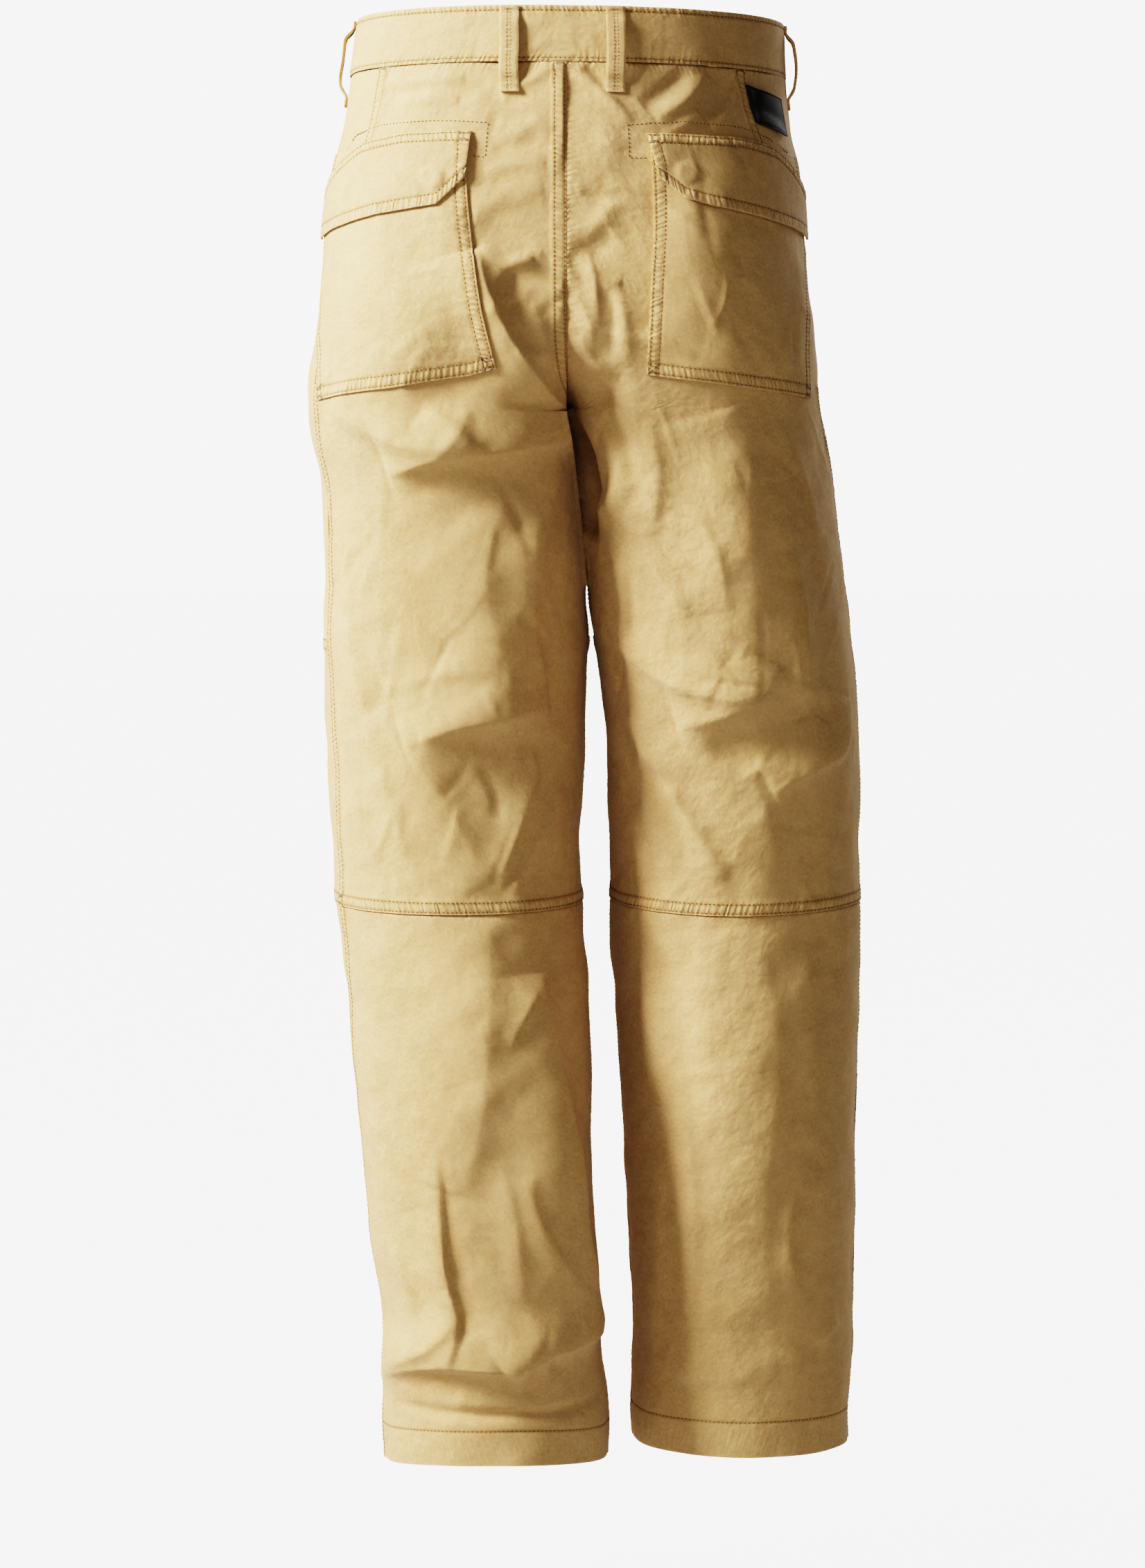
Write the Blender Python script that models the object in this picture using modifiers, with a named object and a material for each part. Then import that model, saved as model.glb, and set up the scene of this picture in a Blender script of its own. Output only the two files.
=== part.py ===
"""Cargo trousers in the hollow form they have when worn.

Metres, +Z up, front towards -Y, the wearer's left towards +X. The origin is the
middle of the waist opening, level with the top edge of the waistband.

Each half of the trousers is one grid of points: rows run round the half from the
centre back, over the side, to the centre front, and below the crotch they close
into a leg. Every panel is a block of that grid with a wall, and what lies on a
panel is cut from the same faces and moved out.
"""
import math
from collections import namedtuple

import bmesh
import bpy
import numpy as np
from mathutils import Vector

MM = 0.001

# Driving dimensions, metres
CLOTH = 1.5 * MM            # wall of a panel
HEM_CLOTH = 2.8 * MM        # wall where the hem is turned up
BAND_CLOTH = 2.8 * MM       # wall of the waistband
BAND_PROUD = 0.9 * MM       # the waistband stands this far out of the panels
SEAM_GAP = 0.3 * MM         # room between two pieces at a seam
BAND_HEIGHT = 40 * MM
BAND_OVERLAP = 1            # columns of the grid that the closed waistband overlaps
CROTCH = 279 * MM           # below the top of the waistband
KNEE_TOP = 440 * MM         # upper seam of the front knee panel
KNEE_SEAM = 630 * MM
HEM_FOLD = 25 * MM
RISE_RUN = 150 * MM         # height over which the rise seam turns under the body
RISE_POWER = 1.15
RISE_EASE = 0.1             # rounds the start of that rise, so that the seat has no crease
PEAK_POWER = 1.6            # how the fullest line of a half moves out towards its leg
SQUARE = 2.15               # exponent of the sections, 2 is an ellipse
WAIST_TILT = 0.011          # the wearer's left side stands a little higher
BACK_COLUMNS = 12
FRONT_COLUMNS = 10

SIGN = {"left": 1, "right": -1}
LENGTH = {"left": 1025.5 * MM, "right": 1021.5 * MM}
KNEE_DIP = {"left": 2 * MM, "right": 5 * MM}
HEM_LIFT = {"left": 10 * MM, "right": 1 * MM}

# Sections of a half, millimetres. drop is the depth below the waist, outer and inner
# are the distances of its two sides from the centre plane, back and front are along Y.
Section = namedtuple("Section", "drop outer inner back front")
SECTIONS = {
    "left": (
        Section(0, 150, 0, 98, -104),
        Section(40, 155, 0, 104, -107),
        Section(73, 160, 0, 110, -111),
        Section(106, 167, 0, 115, -113),
        Section(140, 171, 0, 119, -114),
        Section(179, 174, 0, 122, -113),
        Section(215, 179, 0, 121, -111),
        Section(250, 183, 0, 116, -107),
        Section(279, 185, 0, 108, -102),
        Section(303, 182, -4, 102, -99),
        Section(334, 176, -8, 98, -97),
        Section(401, 175, -14.2, 91, -94),
        Section(446, 175, -13.8, 87, -92),
        Section(501, 174, -12, 84, -90),
        Section(560, 171, -10.5, 82, -87),
        Section(605, 167.5, -10, 83, -83),
        Section(640, 164.5, -11, 85, -77),
        Section(691, 158, -14.5, 91, -67),
        Section(736, 153, -16.5, 95, -60),
        Section(800, 147, -17, 98, -53),
        Section(857, 141, -20, 99, -49),
        Section(901, 134.5, -22, 98, -48),
        Section(930, 129.5, -23, 97, -48),
        Section(957, 129, -25, 95, -49),
        Section(981, 130.5, -29, 96, -50),
        Section(1026, 131, -29, 96, -50),
    ),
    "right": (
        Section(0, 155, 0, 98, -104),
        Section(40, 156.5, 0, 104, -107),
        Section(73, 160, 0, 110, -111),
        Section(106, 166, 0, 115, -113),
        Section(140, 168.5, 0, 119, -114),
        Section(179, 172, 0, 122, -113),
        Section(215, 177, 0, 121, -111),
        Section(250, 180, 0, 116, -107),
        Section(279, 182.5, 0, 108, -102),
        Section(303, 186.5, 4.3, 102, -99),
        Section(334, 191.5, 8.3, 98, -97),
        Section(401, 199.5, 14.5, 91, -94),
        Section(446, 204.5, 21, 86, -92),
        Section(501, 209.5, 27.5, 79, -94),
        Section(560, 211.5, 30.5, 71, -97),
        Section(605, 211, 31.5, 66, -99),
        Section(640, 212, 32, 64, -97),
        Section(691, 211, 34.5, 64, -93),
        Section(736, 209.5, 37.5, 64, -89),
        Section(800, 208.5, 41.5, 63, -86),
        Section(857, 208, 45, 60, -85),
        Section(901, 207, 47, 57, -86),
        Section(946, 206.5, 48.5, 56, -86),
        Section(988, 205, 47.5, 55, -86),
        Section(1022, 204.5, 48, 55, -86),
    ),
}

# Exponents of the quarter at the back of the inner thigh and calf, by depth.
SquarePoint = namedtuple("SquarePoint", "drop exponent")
INNER_SQUARE = (SquarePoint(0, 2.9), SquarePoint(279, 2.9), SquarePoint(380, 2.5),
                SquarePoint(560, 2.1), SquarePoint(1031, 2.05))

# Where the side seam runs: degrees behind the outermost line, at depths in millimetres.
SeamPoint = namedtuple("SeamPoint", "drop degrees")
SIDE_SEAM = {
    "left": (SeamPoint(0, 33), SeamPoint(80, 34), SeamPoint(200, 27), SeamPoint(345, 21),
             SeamPoint(630, 20), SeamPoint(736, 9), SeamPoint(900, 1), SeamPoint(1031, 0)),
    "right": (SeamPoint(0, 40), SeamPoint(80, 38), SeamPoint(200, 24), SeamPoint(345, 4),
              SeamPoint(630, 0), SeamPoint(1017, 0)),
}

# Large folds, millimetres. path holds (x, drop) points on the back or the front, height
# is out of the cloth (a trough is negative), width is the fold's half width.
Fold = namedtuple("Fold", "path height width face", defaults=("back",))
FOLDS = {
    "left": (
        Fold(((60, 180), (52, 200), (36, 232), (10, 272)), 6.0, 14),
        Fold(((160, 290), (129, 305), (100, 309), (64, 305)), 4.5, 14),
        Fold(((113, 321), (84, 313), (47, 308), (0, 300)), 6.0, 15),
        Fold(((40, 330), (58, 390), (48, 450), (34, 500)), 5.0, 24),
        Fold(((4, 322), (21, 368), (26, 420), (18, 462)), 4.0, 13),
        Fold(((106, 510), (76, 500), (40, 495), (14, 487)), 6.0, 15),
        Fold(((132, 488), (119, 510), (88, 550), (54, 608)), 5.0, 18),
        Fold(((54, 636), (56, 694), (60, 774), (73, 818)), 5.5, 24),
        Fold(((17, 690), (8, 745), (-1, 806), (-9, 862), (-21, 920)), 5.5, 16),
        Fold(((89, 800), (86, 854), (82, 886), (75, 916)), 3.5, 13),
        Fold(((128, 966), (80, 949), (30, 958)), 5.0, 13),
        Fold(((37, 958), (12, 942), (-24, 934)), 4.5, 13),
        Fold(((10, 258), (50, 246), (100, 240)), -4.0, 11, "front"),
        Fold(((12, 276), (55, 286), (105, 288)), -4.5, 12, "front"),
        Fold(((40, 340), (90, 360), (130, 366)), 4.0, 16, "front"),
        Fold(((60, 520), (110, 512), (150, 520)), 4.5, 15, "front"),
        Fold(((5, 562), (50, 548), (100, 553)), -4.5, 14, "front"),
        Fold(((20, 606), (60, 596), (120, 600)), 4.5, 14, "front"),
        Fold(((115, 690), (102, 760), (86, 830)), 4.5, 18, "front"),
        Fold(((60, 300), (84, 400), (88, 470)), 3.5, 24, "front"),
        Fold(((10, 700), (14, 790), (2, 880)), 3.5, 16, "front"),
        Fold(((-8, 934), (40, 948), (104, 940)), -5.0, 13, "front"),
        Fold(((-6, 950), (50, 964), (112, 952)), 5.0, 13, "front"),
    ),
    "right": (
        Fold(((-42, 303), (-36, 333), (-24, 348), (-12, 352)), 4.0, 13),
        Fold(((-58, 286), (-64, 330), (-55, 375), (-40, 440)), 3.5, 13),
        Fold(((-112, 290), (-122, 342), (-125, 396), (-122, 462)), 6.0, 26),
        Fold(((-146, 330), (-160, 400), (-166, 450), (-172, 492)), 4.5, 15),
        Fold(((-23, 430), (-64, 465), (-106, 478), (-134, 480)), 4.0, 14),
        Fold(((-83, 501), (-112, 493), (-134, 482), (-146, 460)), 6.0, 15),
        Fold(((-148, 543), (-172, 530), (-193, 516), (-199, 486)), 5.0, 14),
        Fold(((-42, 488), (-62, 528), (-92, 574), (-112, 604)), 2.5, 13),
        Fold(((-106, 640), (-112, 734), (-108, 838), (-112, 930)), 4.0, 34),
        Fold(((-10, 262), (-55, 252), (-98, 250)), -4.0, 11, "front"),
        Fold(((-14, 280), (-60, 290), (-112, 300)), -4.5, 12, "front"),
        Fold(((-50, 352), (-100, 344), (-150, 352)), 4.0, 16, "front"),
        Fold(((-70, 528), (-120, 518), (-176, 530)), 4.5, 15, "front"),
        Fold(((-45, 572), (-95, 560), (-150, 568)), -4.5, 14, "front"),
        Fold(((-60, 700), (-72, 770), (-90, 850)), 4.0, 18, "front"),
        Fold(((-80, 310), (-104, 400), (-110, 470)), 3.5, 24, "front"),
        Fold(((-150, 650), (-162, 760), (-158, 860)), 3.0, 16, "front"),
        Fold(((-62, 944), (-110, 952), (-180, 944)), -4.5, 13, "front"),
        Fold(((-62, 962), (-110, 970), (-180, 960)), 4.0, 13, "front"),
    ),
}

# Rows of the grid: how many there are down to each level, and how they bunch there.
Station = namedtuple("Station", "name rows easing")
STATIONS = (
    Station("waist seam", 2, 1.0),
    Station("crotch", 13, 1.35),
    Station("knee top", 7, 1.0),
    Station("knee seam", 9, 1.0),
    Station("hem fold", 15, 1.0),
    Station("hem", 1, 1.0),
)

# Pockets, flaps and label: convex outlines seen from behind, (x, drop) in millimetres.
POCKET_OUTLINE = {
    "left": ((68, 97), (49, 250), (68, 257), (120, 265), (174, 272), (174, 97)),
    "right": ((-57, 97), (-55, 256), (-82, 260), (-125, 266), (-170.5, 271), (-167.5, 97)),
}
FLAP_OUTLINE = {
    "left": ((65, 89), (69, 122), (86, 140), (120, 145), (210, 157), (210, 132), (142, 90)),
    "right": ((-54, 90), (-63, 121), (-79, 136), (-97, 141), (-210, 158), (-210, 123),
              (-167, 102), (-147, 93), (-125, 89)),
}
LABEL_OUTLINE = ((-124, 51), (-149, 58), (-154, 85), (-131, 78))
POCKET_FRONT = {"left": 24 * MM, "right": 27 * MM}      # Y of the front edge at its top
FLAP_FRONT = {"left": 18 * MM, "right": 20 * MM}
POCKET_TOP = 97 * MM
POCKET_CLOTH = 1.5 * MM
FLAP_CLOTH = 1.8 * MM
LABEL_CLOTH = 1.0 * MM
PATCH_GAP = 0.35 * MM       # room between a patch and the panel under it

# The fly: a strip on the left front, millimetres in (x, drop)
FLY_OUTLINE = ((-5, 41), (-5, 214), (14, 208), (30, 190), (36, 168), (36, 41))
FLY_CLOTH = 1.2 * MM

LOOP_WIDTH = 14 * MM
LOOP_CLOTH = 1.6 * MM
LOOP_BOTTOM = 61 * MM
# x is a loop's distance from the centre plane in millimetres, or None for a loop on the side
BeltLoop = namedtuple("BeltLoop", "name half x face stand")
BELT_LOOPS = (
    BeltLoop("belt_loop_back_left", "left", 39.5, "back", 2.6),
    BeltLoop("belt_loop_back_right", "right", 33.5, "back", 2.6),
    BeltLoop("belt_loop_side_left", "left", None, "side", 6.0),
    BeltLoop("belt_loop_side_right", "right", None, "side", 6.0),
    BeltLoop("belt_loop_front_left", "left", 88, "front", 2.6),
    BeltLoop("belt_loop_front_right", "right", 88, "front", 2.6),
)
SIDE_LOOP_ANGLE = math.radians(2)
# how far the panel's flat facet lies inside the round form at a side loop's lower end
SIDE_LOOP_SAG = {"left": 0.7 * MM, "right": 0.1 * MM}

BUTTON_RADIUS = 8.5 * MM
BUTTON_DEPTH = 3.2 * MM

KHAKI = (0.52, 0.36, 0.17)
KHAKI_TRIM = (0.48, 0.33, 0.15)
LABEL_BLACK = (0.03, 0.025, 0.02)
BUTTON_BROWN = (0.12, 0.08, 0.05)


# ---- shapes in numbers ----

def through(stations, values, at):
    """Smooth curve through the rows of a table, read at any depth."""
    x = np.asarray(stations, float)
    y = np.asarray(values, float)
    slope = np.gradient(y, x)
    i = np.clip(np.searchsorted(x, at) - 1, 0, len(x) - 2)
    run = x[i + 1] - x[i]
    t = np.clip((at - x[i]) / run, 0, 1)
    rise = y[i] * (2 * t**3 - 3 * t**2 + 1) + y[i + 1] * (3 * t**2 - 2 * t**3)
    return rise + run * (slope[i] * (t**3 - 2 * t**2 + t) + slope[i + 1] * (t**3 - t**2))


def table_column(half, name, drop):
    rows = SECTIONS[half]
    return through([r.drop * MM for r in rows], [getattr(r, name) * MM for r in rows], drop)


def signed_power(value, power):
    return np.sign(value) * np.abs(value) ** power


def unit(vectors):
    return vectors / np.maximum(np.linalg.norm(vectors, axis=-1, keepdims=True), 1e-12)


def section_at(half, drop):
    """Peak, outermost and innermost places of a section, and its back and front."""
    outer = table_column(half, "outer", drop)
    inner = table_column(half, "inner", drop)
    spread = np.sin(math.pi / 2 * np.clip(drop / CROTCH, 0, 1)) ** PEAK_POWER
    peak = (outer + inner) / 2 * spread
    rise = np.hypot(np.clip((CROTCH - drop) / RISE_RUN, 0, 1), RISE_EASE) - RISE_EASE
    rise = np.minimum(rise / (math.hypot(1, RISE_EASE) - RISE_EASE), 1)
    share = np.sin(math.pi / 2 * rise) ** RISE_POWER
    inner = np.where(drop < CROTCH, -outer * share, inner)
    return (peak, outer, inner, table_column(half, "back", drop),
            table_column(half, "front", drop))


def inner_square(drop):
    """Exponent of a section's inner back quarter."""
    drops, exponents = zip(*INNER_SQUARE)
    return np.interp(drop / MM, drops, exponents)


def angle_at_x(half, drop, x, face="back"):
    """Angle of a section's back or front where it stands x from the centre plane."""
    peak, outer, inner, _, _ = section_at(half, drop)
    share = (x - peak) / np.where(x > peak, outer - peak, peak - inner)
    square = np.where((x < peak) & (face == "back"), inner_square(drop), SQUARE)
    angle = np.arccos(np.clip(signed_power(share, square / 2), -1, 1))
    return angle if face == "back" else -angle


def centre_angle(half, drop, face):
    """Angle where a half meets the centre plane, or its own inseam below the crotch."""
    angle = angle_at_x(half, drop, np.zeros_like(drop), face)
    return np.where(drop >= CROTCH, math.copysign(math.pi, angle[0]), angle)


def side_angle(half, drop):
    rows = SIDE_SEAM[half]
    return np.radians(through([r.drop * MM for r in rows], [r.degrees for r in rows], drop))


def smooth_bell(value):
    """1 at 0, falling smoothly to 0 at -1 and 1."""
    return (1 - np.clip(np.abs(value), 0, 1) ** 2) ** 2


def plain_surface(half, drop, angle):
    """Surface of one half without its folds."""
    peak, outer, inner, back, front = section_at(half, drop)
    middle = (back + front) / 2
    thigh = (np.cos(angle) < 0) & (np.sin(angle) > 0)
    power = 2 / np.where(thigh, inner_square(drop), SQUARE)
    width = np.where(np.cos(angle) > 0, outer - peak, peak - inner)
    x = SIGN[half] * (peak + width * signed_power(np.cos(angle), power))
    depth = np.where(np.sin(angle) > 0, back - middle, middle - front)
    y = middle + depth * signed_power(np.sin(angle), power)
    backward = np.clip(np.sin(angle), 0, 1) ** 1.5
    tilt = WAIST_TILT * x * np.clip(1 - drop / (200 * MM), 0, 1)
    dip = -KNEE_DIP[half] * backward * smooth_bell((drop - KNEE_SEAM) / (150 * MM))
    lift = HEM_LIFT[half] * backward * smooth_bell((drop - LENGTH[half]) / (120 * MM))
    return np.stack([x, y, -drop + tilt + dip + lift], axis=-1)


def normals_of(surface, half, drop, angle):
    step = 1e-3
    down = surface(half, drop + step, angle) - surface(half, drop - step, angle)
    along = surface(half, drop, angle + 0.01) - surface(half, drop, angle - 0.01)
    return SIGN[half] * unit(np.cross(down, along))


def fold_paths(half):
    """Each fold's path as points on the surface."""
    paths = []
    for fold in FOLDS[half]:
        x, drop = np.array(fold.path).T * MM
        fine = np.linspace(0, 1, 3 * len(x))
        at = np.linspace(0, 1, len(x))
        x, drop = np.interp(fine, at, x), np.interp(fine, at, drop)
        angle = angle_at_x(half, drop, SIGN[half] * x, fold.face)
        paths.append((plain_surface(half, drop, angle), fold))
    return paths


def fold_height(points, path, fold):
    """Height of one fold at each point: a soft ridge that fades at both ends."""
    nearest = np.full(points.shape[:-1], np.inf)
    along = np.zeros(points.shape[:-1])
    for i, (start, end) in enumerate(zip(path[:-1], path[1:])):
        run = end - start
        t = np.clip(((points - start) @ run) / (run @ run), 0, 1)
        distance = np.linalg.norm(points - start - t[..., None] * run, axis=-1)
        closer = distance < nearest
        nearest = np.where(closer, distance, nearest)
        along = np.where(closer, (i + t) / (len(path) - 1), along)
    fade = np.clip(np.sin(math.pi * along), 0, 1) ** 0.6
    return fold.height * MM * fade * np.exp(-(nearest / (fold.width * MM)) ** 2)


def surface(half, drop, angle):
    """Outer face of the cloth, with its large folds."""
    points = plain_surface(half, drop, angle)
    relief = sum(fold_height(points, path, fold) for path, fold in PATHS[half])
    return points + relief[..., None] * normals_of(plain_surface, half, drop, angle)


def keep_apart(half, drop, points):
    """Holds the two halves clear of each other at the centre and between the legs."""
    between = (table_column("left", "inner", drop) - table_column("right", "inner", drop)) / 2
    between = np.where(drop <= CROTCH, 0, between)
    room = SIGN[half] * (points[..., 0] - between)
    points[..., 0] = between + SIGN[half] * np.maximum(room, SEAM_GAP / 2)
    return points


PATHS = {half: fold_paths(half) for half in SIGN}

# ---- the grid of each half ----


def row_depths(half):
    """Depths of the rows, and the row number of each named level."""
    levels = {"waist seam": BAND_HEIGHT, "crotch": CROTCH, "knee top": KNEE_TOP,
              "knee seam": KNEE_SEAM, "hem fold": LENGTH[half] - HEM_FOLD, "hem": LENGTH[half]}
    depths, names = [0.0], {"waist": 0}
    for station in STATIONS:
        steps = np.linspace(0, 1, station.rows + 1)[1:]
        eased = 1 - (1 - steps) ** station.easing
        start = depths[-1]
        depths += list(start + (levels[station.name] - start) * eased)
        names[station.name] = len(depths) - 1
    return np.array(depths), names


def spread_angles(side, centre, count):
    """Angles of the columns from the side seam to the centre. Where a row reaches
    round under the body, the columns near its end take up most of the extra angle."""
    t = np.linspace(0, 1, count + 1)
    middle = np.sign(centre) * math.pi / 2
    even, extra = (middle - side)[:, None], (centre - middle)[:, None]
    return side[:, None] + even * t + extra * t ** 1.7


def two_triangles(a, b, c, d, leans_back):
    """Splits a cell of the grid along the way that its columns lean."""
    return ((a, b, c), (a, c, d)) if leans_back else ((a, b, d), (b, c, d))


class Half:
    """Grid of one half: outer points, directions out of the cloth, and named rows."""

    def __init__(self, name):
        self.name = name
        depths, self.rows = row_depths(name)
        self.drop = np.repeat(depths[:, None], BACK_COLUMNS + FRONT_COLUMNS + 1, axis=1)
        side = side_angle(name, depths)
        back = spread_angles(side, centre_angle(name, depths, "back"), BACK_COLUMNS)[:, ::-1]
        front = spread_angles(side, centre_angle(name, depths, "front"), FRONT_COLUMNS)
        self.angle = np.concatenate([back, front[:, 1:]], axis=1)
        self.points = surface(name, self.drop, self.angle)
        self.out = normals_of(surface, name, self.drop, self.angle)
        self.close_centre()

    def layer(self, distance, rows=slice(None), columns=slice(None)):
        """Points of a block of the grid, moved out by a distance."""
        moved = self.points[rows, columns] + self.out[rows, columns] * distance
        return keep_apart(self.name, self.drop[rows, columns], moved)

    def close_centre(self):
        """Brings both ends of each row above the crotch to the centre plane."""
        above = self.drop[:, 0] < CROTCH - MM
        for end in (0, -1):
            self.points[above, end, 0] = SIGN[self.name] * SEAM_GAP / 2


def inset(points):
    """Draws the border of a block in by half a seam gap."""
    drawn = points.copy()
    for here, inside in ((0, 1), (-1, -2)):
        drawn[here] += unit(points[inside] - points[here]) * SEAM_GAP / 2
        drawn[:, here] += unit(points[:, inside] - points[:, here]) * SEAM_GAP / 2
    return drawn


# ---- meshes ----

def new_material(name, color, roughness=0.85):
    material = bpy.data.materials.new(name)
    material.use_nodes = True
    shader = material.node_tree.nodes["Principled BSDF"]
    shader.inputs["Base Color"].default_value = (*color, 1)
    shader.inputs["Roughness"].default_value = roughness
    shader.inputs["Metallic"].default_value = 0.0
    material.diffuse_color = (*color, 1)
    return material


def finish_object(name, bm, color, roughness=0.85):
    mesh = bpy.data.meshes.new(name)
    bm.to_mesh(mesh)
    bm.free()
    mesh.shade_smooth()
    mesh.set_sharp_from_angle(angle=math.radians(40))
    mesh.materials.append(new_material(name, color, roughness))
    piece = bpy.data.objects.new(name, mesh)
    COLLECTION.objects.link(piece)
    return piece


def shell(name, outer, inner, color, leans_back=True):
    """Closed wall between two grids of points with the same rows and columns."""
    rows, columns = outer.shape[:2]
    bm = bmesh.new()
    grids = [[[bm.verts.new(p) for p in row] for row in grid] for grid in (outer, inner)]
    for grid in grids:
        for i in range(rows - 1):
            for j in range(columns - 1):
                a, b, c, d = grid[i][j], grid[i + 1][j], grid[i + 1][j + 1], grid[i][j + 1]
                for face in two_triangles(a, b, c, d, leans_back):
                    bm.faces.new(face)
    border = [(0, j) for j in range(columns)]
    border += [(i, columns - 1) for i in range(1, rows)]
    border += [(rows - 1, j) for j in range(columns - 2, -1, -1)]
    border += [(i, 0) for i in range(rows - 2, 0, -1)]
    for (i, j), (k, m) in zip(border, border[1:] + border[:1]):
        bm.faces.new((grids[0][i][j], grids[0][k][m], grids[1][k][m]))
        bm.faces.new((grids[0][i][j], grids[1][k][m], grids[1][i][j]))
    bmesh.ops.recalc_face_normals(bm, faces=bm.faces)
    return finish_object(name, bm, color)


def panel(name, half, top, bottom, columns):
    """A cut piece of a half, between two named rows and a range of columns."""
    rows = slice(half.rows[top], half.rows[bottom] + 1)
    outer = half.layer(0, rows, columns)
    wall = np.full(half.drop[rows, columns].shape, CLOTH)
    wall[half.drop[rows, columns] > LENGTH[half.name] - HEM_FOLD - MM] = HEM_CLOTH
    inner = half.layer(-wall[..., None], rows, columns)
    shell(name, inset(outer), inset(inner), KHAKI, columns.start == 0)


def waistband(halves):
    """One band from the centre front right round, its end lapped over its start."""
    rows = slice(0, halves["left"].rows["waist seam"] + 1)
    left, right = halves["left"], halves["right"]

    def band(distance):
        lapped = distance + BAND_CLOTH + SEAM_GAP
        runs = [right.layer(distance, rows)[:, :0:-1], left.layer(distance, rows)[:, :-2],
                left.layer((distance + lapped) / 2, rows)[:, -2:-1],
                left.layer(lapped, rows)[:, -1:],
                right.layer(lapped, rows)[:, -2:-2 - BAND_OVERLAP:-1]]
        runs[1][:, 0, 0] = 0
        runs[3][:, -1, 0] = 0
        return np.concatenate(runs, axis=1)

    shell("waistband", inset(band(BAND_PROUD)), inset(band(BAND_PROUD - BAND_CLOTH)),
          KHAKI_TRIM)


def cut_planes(outline):
    """Planes along Y through the edges of a convex outline, facing out of it."""
    corners = [Vector((x * MM, 0, -drop * MM)) for x, drop in outline]
    middle = sum(corners, Vector()) / len(corners)
    planes = []
    for start, end in zip(corners, corners[1:] + corners[:1]):
        out = (end - start).cross(Vector((0, 1, 0))).normalized()
        planes.append((start, out if out.dot(start - middle) > 0 else -out))
    return planes


def patch(name, half, columns, planes, lift, wall, color, creases=()):
    """A piece laid on a half: the faces under it, cut to shape and moved out."""
    points = half.layer(0, slice(half.rows["waist seam"], half.rows["crotch"] + 3), columns)
    bm = bmesh.new()
    grid = [[bm.verts.new(p) for p in row] for row in points]
    for i in range(len(grid) - 1):
        for j in range(len(grid[0]) - 1):
            a, b, c, d = grid[i][j], grid[i + 1][j], grid[i + 1][j + 1], grid[i][j + 1]
            for face in two_triangles(a, b, c, d, columns.start + j < BACK_COLUMNS):
                bm.faces.new(face[::-SIGN[half.name]])
    for corner, out in planes:
        everything = bm.verts[:] + bm.edges[:] + bm.faces[:]
        bmesh.ops.bisect_plane(bm, geom=everything, plane_co=corner, plane_no=out,
                               clear_outer=True, dist=1e-6)
    for drop in creases:
        everything = bm.verts[:] + bm.edges[:] + bm.faces[:]
        bmesh.ops.bisect_plane(bm, geom=everything, plane_co=(0, 0, -drop),
                               plane_no=(0, 0, 1), dist=1e-6)
    bmesh.ops.dissolve_degenerate(bm, edges=bm.edges, dist=0.2 * MM)
    bm.normal_update()
    for vert in bm.verts:
        vert.co += vert.normal * lift(vert.co)
    piece = finish_object(name, bm, color)
    solid = piece.modifiers.new("wall", "SOLIDIFY")
    solid.thickness = wall
    solid.offset = 1
    return piece


def hip_pocket(half):
    columns = slice(0, BACK_COLUMNS + 4)
    planes = cut_planes(POCKET_OUTLINE[half.name])
    planes.append((Vector((0, POCKET_FRONT[half.name], 0)), Vector((0, -1, 0))))
    patch("hip_pocket_" + half.name, half, columns, planes, lambda co: PATCH_GAP,
          POCKET_CLOTH, KHAKI)


def pocket_flap(half):
    """The flap lies on the panel at its sewn edge and on the pocket below it."""
    columns = slice(0, BACK_COLUMNS + 4)
    planes = cut_planes(FLAP_OUTLINE[half.name])
    planes.append((Vector((0, FLAP_FRONT[half.name], 0)), Vector((0, -1, 0))))
    on_pocket = 2 * PATCH_GAP + POCKET_CLOTH + 0.1 * MM
    crease = POCKET_TOP - 0.5 * MM

    def lift(co):
        share = min(1, max(0, (-co.z - crease + 7 * MM) / (7 * MM)))
        return PATCH_GAP + (on_pocket - PATCH_GAP) * share

    patch("pocket_flap_" + half.name, half, columns, planes, lift, FLAP_CLOTH, KHAKI_TRIM,
          creases=(crease,))


def label_patch(half):
    columns = slice(BACK_COLUMNS - 3, BACK_COLUMNS + 5)
    patch("label_patch", half, columns, cut_planes(LABEL_OUTLINE), lambda co: PATCH_GAP,
          LABEL_CLOTH, LABEL_BLACK)


def fly(half):
    columns = slice(BACK_COLUMNS + FRONT_COLUMNS - 5, None)
    patch("fly", half, columns, cut_planes(FLY_OUTLINE), lambda co: PATCH_GAP, FLY_CLOTH,
          KHAKI)


def belt_loop(loop):
    """A strip sewn down at the top edge and below the waist seam, standing off between."""
    drops = np.array([1, 6, 12, 20, 30, 40, 48, 54, 61]) * LOOP_BOTTOM / 61
    stand = loop.stand * MM
    clear = PATCH_GAP + BAND_PROUD
    rise = np.array([clear, clear, 0.8 * stand + clear, stand + clear, stand + clear,
                     0.9 * stand + clear, 0.6 * stand + clear, PATCH_GAP + 0.3 * MM, PATCH_GAP])
    if loop.face == "side":
        angle = np.full_like(drops, SIDE_LOOP_ANGLE)
        rise[-2:] -= SIDE_LOOP_SAG[loop.half]
    else:
        angle = angle_at_x(loop.half, drops, np.full_like(drops, loop.x * MM), loop.face)
    points = surface(loop.half, drops, angle)
    out = normals_of(plain_surface, loop.half, drops, angle).mean(axis=0) * (1, 1, 0)
    out = unit(out)
    aside = np.cross(out, (0, 0, 1)) * LOOP_WIDTH / 2
    outer, inner = (np.stack([points + out * (rise + more)[:, None] + side
                              for side in (aside, -aside)], axis=1)
                    for more in (LOOP_CLOTH, 0))
    shell(loop.name, outer, inner, KHAKI_TRIM)


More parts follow.
